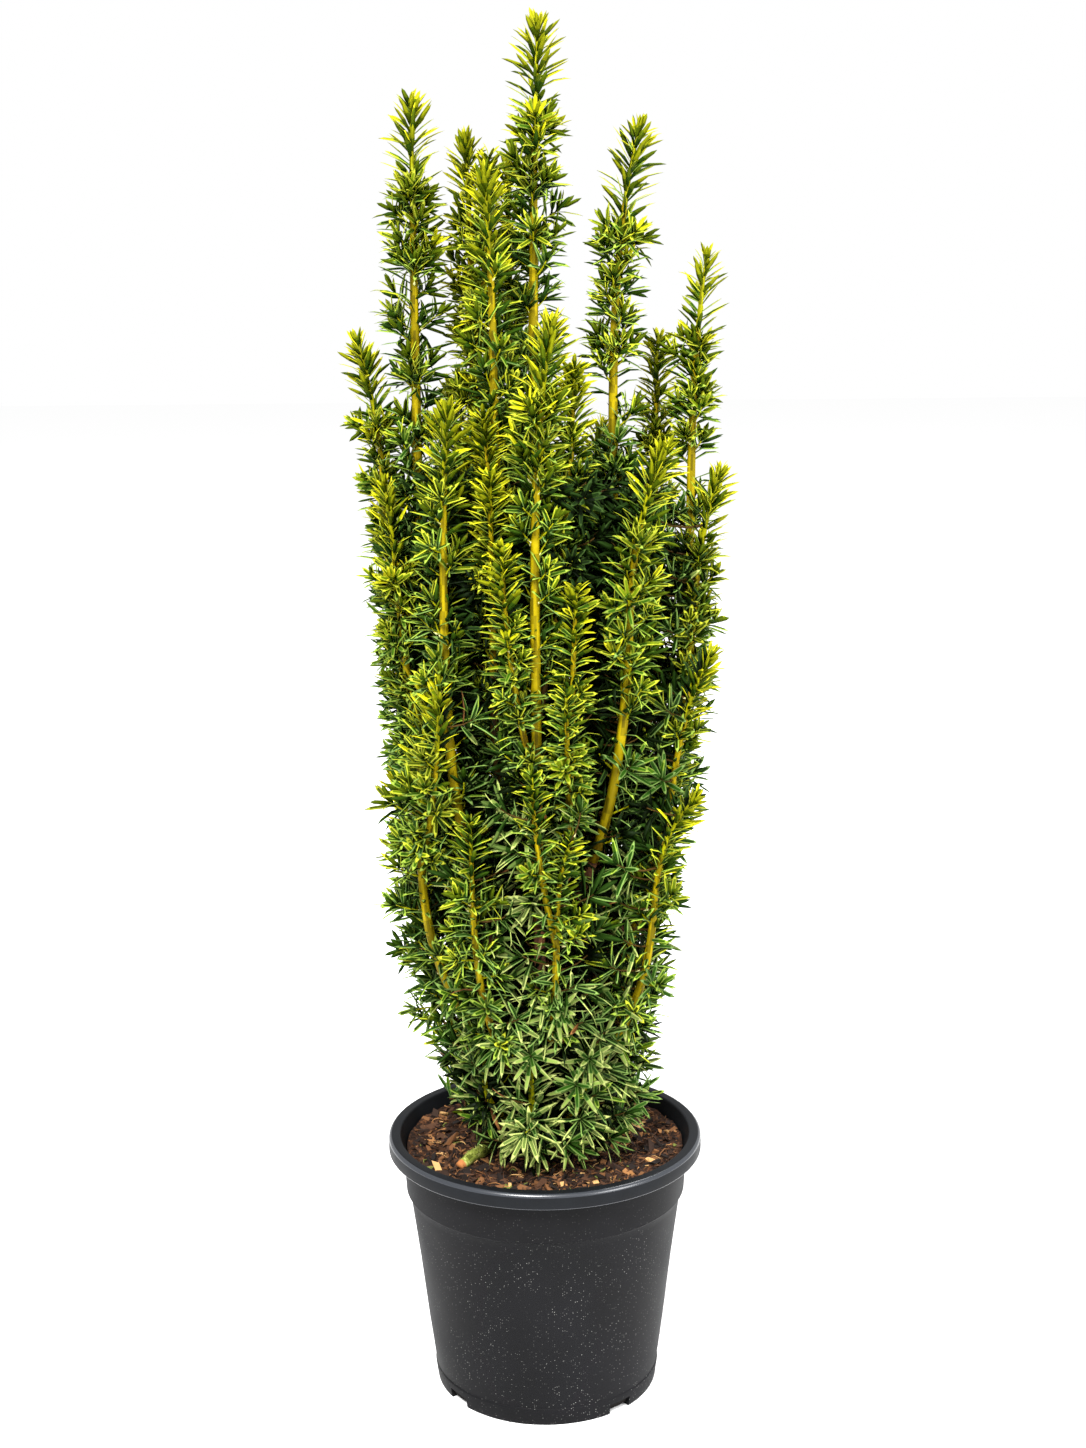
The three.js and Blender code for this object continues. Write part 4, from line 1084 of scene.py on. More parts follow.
sprays = []
for number, stem in enumerate(stems):
    last = stem["length"] - SPUR_LAST
    even = np.arange(SPUR_FIRST + grow.uniform(*SPUR_FIRST_SPREAD), last, SPUR_SPACING)
    wave = 2.0 * np.pi / WHORL_SPACING
    below = even + WHORL_CROWDING / wave * np.sin(wave * even + grow.uniform(0.0, 2.0 * np.pi))
    below = np.clip(below + grow.normal(0.0, SPUR_SCATTER, len(even)), SPUR_NEAREST, last)
    point, up = on_stem(stem, below)
    bearing = GOLDEN_ANGLE * np.arange(len(below)) + grow.uniform(0.0, START_TURN)
    outward = outward_from(up, bearing + grow.normal(0.0, SPUR_TURN_SPREAD, len(below)))
    keep = grow.uniform(size=len(below)) > LOW_THINNING * lowness(point[:, 2])
    keep &= ~is_bare(stem, point, outward, True)
    below, point, up, outward = below[keep], point[keep], up[keep], outward[keep]
    count = len(below)
    is_low = lowness(point[:, 2])
    lift_now, length_now, needle_length, needle_width, youth = [
        high + added * is_low
        for high, added in (SPUR_LIFT, SPUR_LENGTH, SPUR_NEEDLE_LENGTH, SPUR_NEEDLE_WIDTH, SPUR_YOUTH)
    ]
    age = PAINTED_LIGHT_AGE_SHARES.get(stem["mass"], 1.0) * np.interp(below, *SPUR_AGES)
    if stem["is_skirt"]:
        age = np.full(count, LOWEST_AGE)
    lift = np.radians(lift_now + grow.normal(0.0, SPUR_LIFT_SPREAD, count))[:, None]
    length = stem["reach"] / FULL_REACH * length_now * grow.uniform(*SPUR_LENGTHS, count)
    sprays.append({
        "own": np.full(count, number), "is_spur": np.full(count, True), "root": point,
        "direction": np.cos(lift) * outward + np.sin(lift) * up,
        "normal": np.cos(lift) * up - np.sin(lift) * outward,
        "length": length + stem_radius(stem, below), "bend": grow.uniform(*SPUR_BENDS, count),
        "radius": np.full(count, SPUR_RADIUS),
        "covered": np.maximum(stem_radius(stem, below), length - SPUR_TIP),
        "count": grow.integers(*SPUR_NEEDLES, count),
        "size": stem["reach"] / FULL_REACH * needle_length, "width": needle_width,
        "age": age + LOW_AGEING * is_low + grow.normal(0.0, SPUR_AGE_SPREAD, count), "youth": youth,
    })

# height, and distance from the axis at which the plant's surface lies there
SURFACE = [
    (225, 78), (245, 92), (270, 101), (310, 104), (350, 110), (400, 122), (460, 127), (520, 136), (700, 146),
    (1000, 150),
]
SURFACE_TWIGS = 384
SURFACE_FOOT = 236.0  # height of the lowest of them
SURFACE_AGES = (2.0, 3.3)
YOUNG_TIPPED = 0.4  # share of them whose tips are much younger than the rest of them
OLD_HALF_WIDTH = 75.0  # low in the middle of the plant they are old: to this far out, below this height
OLD_TOP = 600.0
OLD_FADE = 60.0
INNER_TWIGS = 1160
INNER_FOOT = 260.0
INNER_TOP = 820.0
INNER_DARK_ABOVE = 60.0  # they are painted in deep shade to this far above the closed part, and in painted half shade higher up
FILLING_TWIGS = 190  # twigs behind and between the leaders, above the closed part
FILLING_TOP = 800.0
FILLING_FRONT = -35.0  # none stand in front of this
FILLING_AGES = (2.4, 3.6)
OUTER_NEEDLES = (11, 15)
INNER_NEEDLES = (12, 17)
TWIG_DROPS = (8.0, 16.0, 24.0, 34.0, 44.0)  # a side twig's root is sought at these depths under its tip
TWIG_LENGTHS = (16.0, 95.0)
TWIG_BENDS = (0.3, 0.9)
TWIG_RADIUS = 0.7  # of a very short one, and what each millimetre of its length adds
TWIG_RADIUS_GROWTH = 0.01
TWIG_NEEDLE_WIDTH = 4.6
YOUTH = 0.8
MUCH_YOUTH = 2.6
surface_height, surface_radius = np.array(SURFACE, float).T


def branch_out(targets, size, span, age, youth, needles):
    """Side twigs from the nearest limb to each target, rising to it in an arc, with needles on its last span.

    The arc turns by its bend b between directions that lie b/2 below and above its chord, so its length is
    the chord's times b/2 / sin(b/2).
    """
    best = np.full(len(targets), np.inf)
    root = np.zeros((len(targets), 3))
    own = np.zeros(len(targets), int)
    for drop in TWIG_DROPS:
        level = level_at(targets[:, 2] - drop)
        away = from_limbs(targets, level)
        nearest = away.argmin(axis=1)
        distance = np.hypot(away[np.arange(len(targets)), nearest], drop)
        better = distance < best
        best = np.where(better, distance, best)
        own = np.where(better, nearest, own)
        place = np.concatenate([level_place[level, nearest], levels[level][:, None]], axis=1)
        root = np.where(better[:, None], place, root)
    chord = targets - root
    reach = np.linalg.norm(chord, axis=1)
    ahead = chord / reach[:, None]
    above = unit(np.array([0.0, 0.0, 1.0]) - ahead[:, 2:3] * ahead)
    bend = grow.uniform(*TWIG_BENDS, len(targets))
    cos, sin = np.cos(bend / 2)[:, None], np.sin(bend / 2)[:, None]
    kept = (reach > TWIG_LENGTHS[0]) & (reach < TWIG_LENGTHS[1])
    made = {
        "own": own, "is_spur": np.full(len(targets), False), "root": root,
        "direction": cos * ahead - sin * above, "normal": cos * above + sin * ahead,
        "length": reach * bend / 2 / np.sin(bend / 2), "bend": bend,
        "radius": TWIG_RADIUS + TWIG_RADIUS_GROWTH * reach,
        "covered": np.maximum(level_radius[level_at(root[:, 2]), own], reach - span), "count": needles,
        "size": np.full(len(targets), size), "width": np.full(len(targets), TWIG_NEEDLE_WIDTH),
        "age": age, "youth": youth,
    }
    sprays.append({key: values[kept] for key, values in made.items()})


def scatter_targets(count, low, high, inner, outer, turned_by):
    """Places at even steps of height and of the golden angle, between two shares of the surface's radius."""
    z = low + (high - low) * (np.arange(count) + 0.5) / count
    bearing = GOLDEN_ANGLE * np.arange(count) + turned_by
    radius = np.interp(z, surface_height, surface_radius) * grow.uniform(inner, outer, count)
    return np.stack([radius * np.cos(bearing), radius * np.sin(bearing), z], axis=-1)


targets = scatter_targets(SURFACE_TWIGS, SURFACE_FOOT, LOW_HEIGHT, 0.70, 0.87, 0.4)
middle_share = np.clip(1.4 - np.abs(targets[:, 0]) / OLD_HALF_WIDTH, 0.0, 1.0)
middle_share *= np.clip((OLD_TOP - targets[:, 2]) / OLD_FADE, 0.0, 1.0)
is_old = grow.uniform(size=SURFACE_TWIGS) < middle_share
age = np.where(is_old, LOWEST_AGE, grow.uniform(*SURFACE_AGES, SURFACE_TWIGS))
youth = np.where(grow.uniform(size=SURFACE_TWIGS) < YOUNG_TIPPED, MUCH_YOUTH, YOUTH)
branch_out(targets, 29.0, 14.0, age, youth, grow.integers(*OUTER_NEEDLES, SURFACE_TWIGS))

targets = scatter_targets(INNER_TWIGS, INNER_FOOT, INNER_TOP, 0.25, 0.70, 1.9)
# the inner twigs carry only painted shade: near-black low down, dark green higher up
age = np.where(targets[:, 2] < LOW_HEIGHT + INNER_DARK_ABOVE, DEEP_SHADE_AGE, SHADE_AGE)
branch_out(targets, 27.0, 40.0, age, np.zeros(INNER_TWIGS), grow.integers(*INNER_NEEDLES, INNER_TWIGS))

targets = scatter_targets(FILLING_TWIGS, LOW_HEIGHT, FILLING_TOP, 0.55, 0.82, 2.7)
targets = targets[targets[:, 1] > FILLING_FRONT]
age = grow.uniform(*FILLING_AGES, len(targets))
youth = np.full(len(targets), YOUTH)
branch_out(targets, 25.0, 22.0, age, youth, grow.integers(*OUTER_NEEDLES, len(targets)))

spray = {key: np.concatenate([part[key] for part in sprays]) for key in sprays[0]}
spray_tip = bent(*[spray[key] for key in ARC], np.array([1.0]))[0][:, 0]

# Some sprays go: those that would run into another limb or the soil, hide a bare stem or crowd a young top.
YOUNG_LENGTH = 105.0  # over this length below a tip nothing else grows near a leader
YOUNG_TWIG_GAP = 33.0
YOUNG_SPUR_GAP = 20.0
SPRAY_ROOM = 2.0
SPRAY_SOIL_GAP = 8.0
stem_tops = np.array([stem["line"][0, 2] for stem in stems])


def is_crowding(points, own, gap):
    """Whether points come within a gap, in plan, of the young top of a leader other than their own."""
    away = from_limbs(points, level_at(points[:, 2]))
    away[np.arange(len(points)), own] = np.inf
    return ((away < gap[:, None]) & (stem_tops - points[:, 2:3] < YOUNG_LENGTH)).any(axis=1)


clear = (room(spray_tip, spray["own"]) > SPRAY_ROOM) & (spray_tip[:, 2] > SOIL_TOP + SPRAY_SOIL_GAP)
for mass, low, high, _ in BARE_VIEWS:
    offset = spray_tip[:, :2] - level_place[level_at(spray_tip[:, 2]), stem_masses.index(mass)]
    hides = (np.abs(offset[:, 0]) < BARE_SPACE) & (offset[:, 1] < -2.0 * BARE_SPACE)
    clear &= ~(hides & (spray_tip[:, 2] > low) & (spray_tip[:, 2] < high))
clear &= ~is_crowding(spray_tip, spray["own"], np.where(spray["is_spur"], YOUNG_SPUR_GAP, YOUNG_TWIG_GAP))
spray = {key: values[clear] for key, values in spray.items()}
spray_tip = spray_tip[clear]

SHADED_RADIUS = 60.0  # growth rooted nearer to the axis than this is coloured near-black as painted deep shade
SHADED_FADE = 90.0  # height under the inner growth's top over which the painted shade sets in
INWARDS_FROM = 4.0  # growth that points inwards by more than this may be painted in half shade, and by this much more it always is
INWARDS_OVER = 14.0  # and by this much more it always is
SHADED_FROM = 20.0  # depth under the surface at which some side twigs are painted in deep shade, and at which all of them are
SHADED_ALL = 46.0
SHADED_BELOW = 80.0  # under the inner growth's top


def shaded(age, root, tip):
    """The ages of growth on a stem, with painted shade: half shade where it grows inwards, deep shade where
    its root is near the axis.
    """
    from_axis = np.hypot(root[:, 0], root[:, 1])
    inwards = from_axis - np.hypot(tip[:, 0], tip[:, 1])
    is_below = np.clip((INNER_TOP - tip[:, 2]) / SHADED_FADE, 0.0, 1.0) > grow.uniform(size=len(root))
    is_inwards = (inwards - INWARDS_FROM) / INWARDS_OVER > grow.uniform(size=len(root))
    age = np.where(is_below & is_inwards, SHADE_AGE, np.minimum(age, OLDEST_AGE))
    return np.where(is_below & (from_axis < SHADED_RADIUS), DEEP_SHADE_AGE, age)


# Painted shade on the sprays: spurs by the way they grow, side twigs by how deep under the surface their tips
# lie.
spray["age"] = np.where(spray["is_spur"], shaded(spray["age"], spray["root"], spray_tip), spray["age"])
depth = np.interp(spray_tip[:, 2], surface_height, surface_radius)
depth -= np.hypot(spray_tip[:, 0], spray_tip[:, 1])
is_deep_shade = grow.uniform(size=len(depth)) < (depth - SHADED_FROM) / (SHADED_ALL - SHADED_FROM)
is_deep_shade &= ~spray["is_spur"] & (spray_tip[:, 2] < INNER_TOP - SHADED_BELOW)
spray["age"] = np.where(is_deep_shade, DEEP_SHADE_AGE, spray["age"])

SECTORS = ["right", "back_right", "back", "back_left", "left", "front_left", "front", "front_right"]
GROUPS = SECTORS + ["centre", "skirt"]
CENTRE_RADIUS = 70.0  # leaders that stand nearer to the axis than this make up the centre
STEM_COLOURS = [(138, 138, 4), (148, 130, 4), (132, 108, 6), (66, 48, 16)]
STEM_TONES = (1.0, 0.8, 0.6)  # the streaks in each colour
STEM_COLOUR_ENDS = np.array([55.0, 330.0, 460.0])  # distances below the tip at which the next colour starts
SMALL_REACH = 25.0  # leaders with a smaller reach than this are small
SMALL_BROWNING = 0.45  # and their stems change colour over this share of those distances
STREAK = 11.0  # length of the streaks round the stem
STREAK_SQUASH = 0.25  # they run on along it by one over this
STREAK_SEED = 41
STREAK_BOUNDS = (-0.1, 0.6)  # values of the noise at which one tone gives way to the next
TWIG_STATIONS = 4
TWIG_SIDES = 4
TWIG_TIP_SHARE = 0.45
BUD_CHANCE = 0.5
BUD_PLACE = 0.8  # share of a twig's bare part at which its bud stands
BUD_FURTHEST = 8.0  # the bare part counts as no longer than this
BUD_WIDTH = 2.6  # times the twig's radius


def group_of(stem):
    """The number of the group that a stem belongs to: its sector by its bearing, the centre, or the skirt."""
    if stem["is_skirt"]:
        return GROUPS.index("skirt")
    if np.hypot(*stem["place"]) < CENTRE_RADIUS:
        return GROUPS.index("centre")
    sector = np.degrees(np.arctan2(stem["place"][1], stem["place"][0])) / (360.0 / len(SECTORS))
    return int(np.round(sector)) % len(SECTORS)


def masses_of(group):
    """The names of the masses whose stems are in a group."""
    return sorted({mass for mass, number in zip(stem_masses, stem_group) if number == group})


def bud_mesh(points, along, width):
    """Pointed buds at some points: eight faces each, twice as long as wide. Vertices and faces."""
    first, second = square_frame(along)
    half = width[:, None, None] / 2.0
    around = points[:, None] + half * np.stack([first, second, -first, -second], axis=1)
    ends = points[:, None] + half * along[:, None] * np.array([[-1.0], [3.0]])
    vertices = np.concatenate([around, ends], axis=1)
    ring = np.arange(4)
    onward = np.roll(ring, -1)
    foot, tip = np.full(4, 4), np.full(4, 5)
    faces = np.concatenate([np.stack([onward, ring, foot], 1), np.stack([ring, onward, tip], 1)])
    return vertices.reshape(-1, 3), repeated(faces, len(points), vertices.shape[1])


def joined(parts):
    """Several sets of (vertices, face arrays, slots) as one, with the corner numbers moved on."""
    start = np.cumsum([0] + [len(vertices) for vertices, _, _ in parts])
    faces = [rows + offset for (_, arrays, _), offset in zip(parts, start) for rows in arrays]
    return np.concatenate([part[0] for part in parts]), faces, [slot for part in parts for slot in part[2]]


def stem_mesh(stem):
    """A stem's tube, with its colours by the distance below its tip and streaks of three tones in them."""
    line = stem["line"][::-1]
    below = np.linspace(stem["length"], 0.0, len(line))
    vertices, faces, caps = tubes(line[None], stem_radius(stem, below)[None], STEM_SIDES)
    ends = STEM_COLOUR_ENDS * (SMALL_BROWNING if stem["reach"] < SMALL_REACH else 1.0)
    colour = len(STEM_TONES) * np.searchsorted(ends, np.repeat((below[1:] + below[:-1]) / 2, STEM_SIDES))
    middle = vertices[faces].mean(axis=1)
    around = unit(middle - np.repeat((line[1:] + line[:-1]) / 2, STEM_SIDES, axis=0))
    streak = ripple(around * STREAK + middle * (0.0, 0.0, STREAK_SQUASH), STREAK, STREAK_SEED)
    streak = np.searchsorted(STREAK_BOUNDS, streak)
    return vertices, [faces, caps], [colour + streak, np.array([colour[0], 0])]


def spray_mesh(mine):
    """The tapering tubes of the chosen spurs and side twigs, golden or brown."""
    path = bent(*[spray[key][mine] for key in ARC], np.linspace(0.0, 1.0, TWIG_STATIONS))[0]
    taper = spray["radius"][mine][:, None] * np.linspace(1.0, TWIG_TIP_SHARE, TWIG_STATIONS)
    vertices, faces, caps = tubes(path, taper, TWIG_SIDES)
    colour = len(STEM_TONES) * np.where(spray["is_spur"][mine], 0, len(STEM_COLOURS) - 1)
    return vertices, [faces, caps], [np.repeat(colour, (TWIG_STATIONS - 1) * TWIG_SIDES), np.tile(colour, 2)]


stem_group = np.array([group_of(stem) for stem in stems])
stem_materials = [
    new_material(f"stem_{i + 1}_{tone + 1}", np.array(colour) * shade, 0.55, 0.06)[0]
    for i, colour in enumerate(STEM_COLOURS) for tone, shade in enumerate(STEM_TONES)
]
stem_materials.append(new_material("bud_scales", (206, 204, 138), 0.5, 0.1)[0])
BUD_SLOT = len(stem_materials) - 1
has_bud = (grow.uniform(size=len(spray["own"])) < BUD_CHANCE) & (spray["age"] < OLDEST_AGE)

for group, group_name in enumerate(GROUPS):
    parts = [stem_mesh(stem) for stem, number in zip(stems, stem_group) if number == group]
    mine = stem_group[spray["own"]] == group
    parts.append(spray_mesh(mine))
    bud_way = spray["direction"][mine & has_bud]
    bud_place = BUD_PLACE * np.minimum(spray["covered"][mine & has_bud], BUD_FURTHEST)
    bud_root = spray["root"][mine & has_bud] + bud_way * bud_place[:, None]
    vertices, faces = bud_mesh(bud_root, bud_way, BUD_WIDTH * spray["radius"][mine & has_bud])
    parts.append((vertices, [faces], [np.full(len(faces), BUD_SLOT)]))
    vertices, faces, slots = joined(parts)
    piece = add_mesh(f"twigs_{group_name}", vertices, faces, slots, stem_materials)
    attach(piece, "root")
    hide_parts(*masses_of(group))

# ---- Needles ----------------------------------------------------------------------------------------
# Flat, soft blades with a short point, 15 to 34 mm long and about 4 mm wide, that stand all round the young
# stems and each twig, with the upper side towards its tip. New ones are green-gold all over, then green with
# a yellow margin, and the oldest are grey-green with a cream margin. They grow straight from the bark.

NEEDLE_DEPTH = 0.16  # rise of the middle over the edges, as a share of the width
MIDDLE_SHARE = 0.54  # width of the green middle between the margins
NEEDLE_ROOM = 0.5  # space left between a needle and the bark of another limb
NEEDLE_SOIL_GAP = 1.0
INNER_FROM = (SHADE_AGE + DEEP_SHADE_AGE) / 2  # needles of a greater age, those painted in deep shade, have the plainest blade

# each blade: places along it from foot to tip, and widths at those between its two ends
BLADES = [
    ((0.0, 0.14, 0.52, 0.84, 1.0), (0.6, 1.0, 0.68)),
    ((0.0, 0.32, 0.78, 1.0), (0.95, 0.82)),
    ((0.0, 0.45, 1.0), (1.0,)),
]
FINE_BLADE, PLAIN_BLADE, INNER_BLADE = range(len(BLADES))

# from youngest to oldest, then painted half shade, painted deep shade and dead: middle, margin, underside
NEEDLE_COLOURS = {
    "gold": ((122, 124, 6), (186, 182, 26), (106, 110, 8)),
    "gold_green": ((66, 80, 4), (154, 160, 38), (64, 78, 6)),
    "fresh_green": ((36, 60, 6), (124, 146, 50), (38, 60, 8)),
    "green": ((24, 48, 8), (100, 126, 60), (30, 52, 12)),
    "old": ((84, 100, 44), (150, 160, 88), (70, 88, 38)),
    "shade": ((18, 34, 8), (46, 68, 24), (24, 42, 10)),
    "inner": ((5, 12, 2), (12, 24, 4), (7, 16, 2)),
    "dry": ((96, 58, 26), (140, 94, 50), (92, 60, 34)),
}
BASE_KINDS = np.array([1, 2, 3, 3, 3, 6, 6, 7])  # the kind whose colours the lower half of each kind has
MIDDLE_TONES = (0.75, 1.0, 1.25)
MARGIN_TONES = (0.85, 1.05)
TONES = len(MIDDLE_TONES) * len(MARGIN_TONES)
DRY_CHANCE = 0.004
DRY_YOUNGEST = 2.5
STUB_CLEAR = 46.0  # the foliage stands back from the mossy stub: at soil level it is bare to the left of this
STUB_CLEAR_SLOPE = 0.6
STUB_CLEAR_BACK = 20.0
STUB_CLEAR_TOP = 285.0
RIM_SPACE = (4.0, 6.0)  # needles keep this far above the pot's lip, or this far inside its wall
needle_kinds = list(NEEDLE_COLOURS)
needles = []


def add_needles(point, along, outward, angle, upward, twist, **rest):
    """Needles that stand off points on a stem or twig, each in an outward direction and at an angle to it.

    With a the direction of the twig, r the outward direction and q the angle, a needle sets off along
    cos(q) a + sin(q) r, drawn upward a little. Its upper side faces sin(q) a - cos(q) r, turned by its twist.
    The rest is the limb that it grows on, and its length, width, bend, age, tone and blade.
    """
    cos, sin = np.cos(angle)[:, None], np.sin(angle)[:, None]
    direction = unit(cos * along + sin * outward + upward[:, None] * np.array([0.0, 0.0, 1.0]))
    facing = sin * along - cos * outward
    facing = unit(facing - (facing * direction).sum(-1, keepdims=True) * direction)
    side = np.cross(direction, facing)
    facing = np.cos(twist)[:, None] * facing + np.sin(twist)[:, None] * side
    needles.append({"root": point, "direction": direction, "normal": facing, **rest})


# the stems' own needles, closest together at the tip, where they make a tuft
DIRECT_FIRST_SPACING = 0.6
DIRECT_SPACING_GROWTH = 0.011
SMALL_SPACING_SHRINK = 0.004  # it grows by this much less on small leaders
DIRECT_SCATTER = (0.3, 0.006)  # at the tip, and what each millimetre below it adds
DIRECT_TURN_SPREAD = 0.2  # radians
DIRECT_LAST = 2.0  # distance of the lowest ones above the stem's foot
DIRECT_WIDTH = 4.3
DIRECT_ANGLES = ([0.0, 16.0, 96.0], [10.0, 40.0, 58.0])  # distances below the tip, degrees from the stem
DIRECT_ANGLE_SPREAD = 9.0
DIRECT_AGES = ([0.0, 30.0, 60.0, 120.0, 300.0, 480.0], [0.0, 0.3, 0.8, 1.6, 2.7, 3.8])
DIRECT_AGE_SPREAD = 0.35
DIRECT_LENGTHS = ([0.0, 20.0], [18.0, 29.0])
DIRECT_LENGTH_SPREAD = (0.86, 1.12)
SMALL_TUFT = 26.0  # degrees by which small leaders spread their topmost needles
SMALL_TUFT_LENGTH = 40.0  # over which that dies away
DROOP_FROM = 90.0  # from this far below the tip needles hang more,
DROOP_OVER = 120.0  # and fully so after this much more
SMALL_DROOP = 50.0  # by which both are less on small leaders
DROOP_LENGTHENS = 6.0
DROOP_NARROWS = 0.7
DROOP_FOLDS = 8.0  # degrees
DROOP_BENDS = 48.0  # degrees
PALE_TOP = 700.0  # small leaders whose tips are lower than this have less gold there
PALE_AGEING = 0.8

for number, stem in enumerate(stems):
    is_small = float(stem["reach"] < SMALL_REACH)
    growth = DIRECT_SPACING_GROWTH - SMALL_SPACING_SHRINK * is_small
    count = int(np.log1p(stem["length"] * growth / DIRECT_FIRST_SPACING) / growth)
    below = (np.exp(growth * np.arange(count)) - 1.0) * DIRECT_FIRST_SPACING / growth
    below = below + grow.normal(0.0, DIRECT_SCATTER[0] + DIRECT_SCATTER[1] * below)
    below = np.clip(below, 0.0, stem["length"] - DIRECT_LAST)
    point, up = on_stem(stem, below)
    bearing = GOLDEN_ANGLE * np.arange(count) + grow.uniform(0.0, START_TURN)
    outward = outward_from(up, bearing + grow.normal(0.0, DIRECT_TURN_SPREAD, count))
    sooner = SMALL_DROOP * is_small
    droop = np.clip((below - DROOP_FROM + sooner) / (DROOP_OVER - sooner), 0.0, 1.0)
    angle = np.interp(below, *DIRECT_ANGLES) - DROOP_FOLDS * droop
    angle += SMALL_TUFT * np.clip(1.0 - below / SMALL_TUFT_LENGTH, 0.0, 1.0) * is_small
    angle = np.radians(angle + grow.normal(0.0, DIRECT_ANGLE_SPREAD, count))
    size = np.interp(below, *DIRECT_LENGTHS) * (stem["reach"] / FULL_REACH) ** 0.75 + DROOP_LENGTHENS * droop
    age = np.interp(below, *DIRECT_AGES) * PAINTED_LIGHT_AGE_SHARES.get(stem["mass"], 1.0)
    if is_small and stem["line"][0, 2] < PALE_TOP:
        age += PALE_AGEING
    if stem["is_skirt"]:
        age = np.maximum(age, LOWEST_AGE)
    # Painted shade on the stem's own needles that grow inwards or stand near the axis.
    age = shaded(age + grow.normal(0.0, DIRECT_AGE_SPREAD, count), point, point + size[:, None] * outward)
    keep = ~is_bare(stem, point, outward, False)
    made = {
        "own": np.full(count, number), "point": point, "along": up, "outward": outward, "angle": angle,
        "upward": np.zeros(count), "length": size * grow.uniform(*DIRECT_LENGTH_SPREAD, count),
        "width": DIRECT_WIDTH - DROOP_NARROWS * droop,
        "bend": np.radians(grow.normal(-18.0, 13.0, count) - DROOP_BENDS * droop),
        "twist": np.radians(grow.normal(0.0, 38.0, count)), "age": age,
        "tone": grow.integers(0, TONES, count), "blade": np.where(age > INNER_FROM, INNER_BLADE, FINE_BLADE),
    }
    add_needles(**{key: values[keep] for key, values in made.items()})

# the needles of spurs and side twigs, from the end of each one's bare part to its tip
BARE_MOST = 0.8  # a twig is never bare over more of its length than this
TWIG_ANGLE = 68.0  # degrees between twig and needle at its foot, and how much less it is at its tip
TWIG_ANGLE_FALL = 50.0
TWIG_ANGLE_SPREAD = 8.0
TWIG_LENGTH_SHARE = 1.04  # of the usual length at its foot, and how much less it is at its tip
TWIG_LENGTH_FALL = 0.3
TWIG_LENGTH_SPREAD = (0.85, 1.12)
YOUNGEST_AGES = (0.35, 0.9)  # no needle on a twig is younger than this, chosen for each twig
RISING_AGE = 3.3  # needles of younger twigs are drawn upward a little, and of older ones downward
RISE_YOUNG = 0.2
RISE_OLD = -0.3

counts = spray["count"]
owner = np.repeat(np.arange(len(counts)), counts)
order = np.arange(len(owner)) - np.repeat(np.cumsum(counts) - counts, counts)
share = (order + 0.7) / counts[owner]
bare = np.minimum(spray["covered"] / spray["length"], BARE_MOST)[owner]
place = (bare + (1.0 - bare) * share**0.8)[:, None]
point, along, _ = [part[:, 0] for part in bent(*[spray[key][owner] for key in ARC], place)]
angle = TWIG_ANGLE - TWIG_ANGLE_FALL * share**1.6 + grow.normal(0.0, TWIG_ANGLE_SPREAD, len(owner))
size = spray["size"][owner] * (TWIG_LENGTH_SHARE - TWIG_LENGTH_FALL * share**2)
size = size * grow.uniform(*TWIG_LENGTH_SPREAD, len(owner))
age = spray["age"][owner] + spray["youth"][owner] * (0.45 - share)
age = np.maximum(age, grow.uniform(*YOUNGEST_AGES, len(counts))[owner])
age = np.where(spray["age"][owner] > OLDEST_AGE, spray["age"][owner], np.minimum(age, OLDEST_AGE))
bearing = GOLDEN_ANGLE * order + grow.uniform(0.0, START_TURN, len(counts))[owner]
blade = np.where(spray["is_spur"], PLAIN_BLADE, FINE_BLADE)[owner]
add_needles(
    point, along, outward_from(along, bearing), np.radians(angle),
    upward=np.where(spray["age"] < RISING_AGE, RISE_YOUNG, RISE_OLD)[owner],
    bend=np.radians(grow.normal(-20.0, 14.0, len(owner))),
    twist=np.radians(grow.normal(0.0, 32.0, len(owner))), own=spray["own"][owner], length=size,
    width=spray["width"][owner], age=age, tone=grow.integers(0, TONES, len(counts))[owner],
    blade=np.where(age > INNER_FROM, INNER_BLADE, blade),
)

# needles that would run into a limb, the soil or the pot, or cover the stub, are left out
needle = {key: np.concatenate([part[key] for part in needles]) for key in needles[0]}
half_way, tip = np.swapaxes(bent(*[needle[key] for key in ARC], np.array([0.5, 1.0]))[0], 0, 1)
clear = (room(half_way, needle["own"]) > NEEDLE_ROOM) & (room(tip, needle["own"]) > NEEDLE_ROOM)
clear &= tip[:, 2] > soil_height(tip[:, 0], tip[:, 1]) + NEEDLE_SOIL_GAP
stub_side = STUB_CLEAR + STUB_CLEAR_SLOPE * (tip[:, 2] - SOIL_TOP)
is_over_stub = (tip[:, 0] < -stub_side) & (tip[:, 1] < STUB_CLEAR_BACK) & (tip[:, 2] < STUB_CLEAR_TOP)
clear &= ~is_over_stub | (needle["own"] == 0)
is_inside = np.hypot(tip[:, 0], tip[:, 1]) < BAND_TOP_RADIUS - RIM_SPACE[1]
clear &= (tip[:, 2] > POT_HEIGHT + RIM_SPACE[0]) | is_inside
needle = {key: values[clear] for key, values in needle.items()}
kind = np.clip(np.round(needle["age"]), 0, DEEP_SHADE_AGE).astype(int)
is_dry = grow.uniform(size=len(kind)) < DRY_CHANCE
is_dry &= (needle["root"][:, 2] < LOW_HEIGHT) & (needle["age"] > DRY_YOUNGEST)
kind[is_dry] = needle_kinds.index("dry")

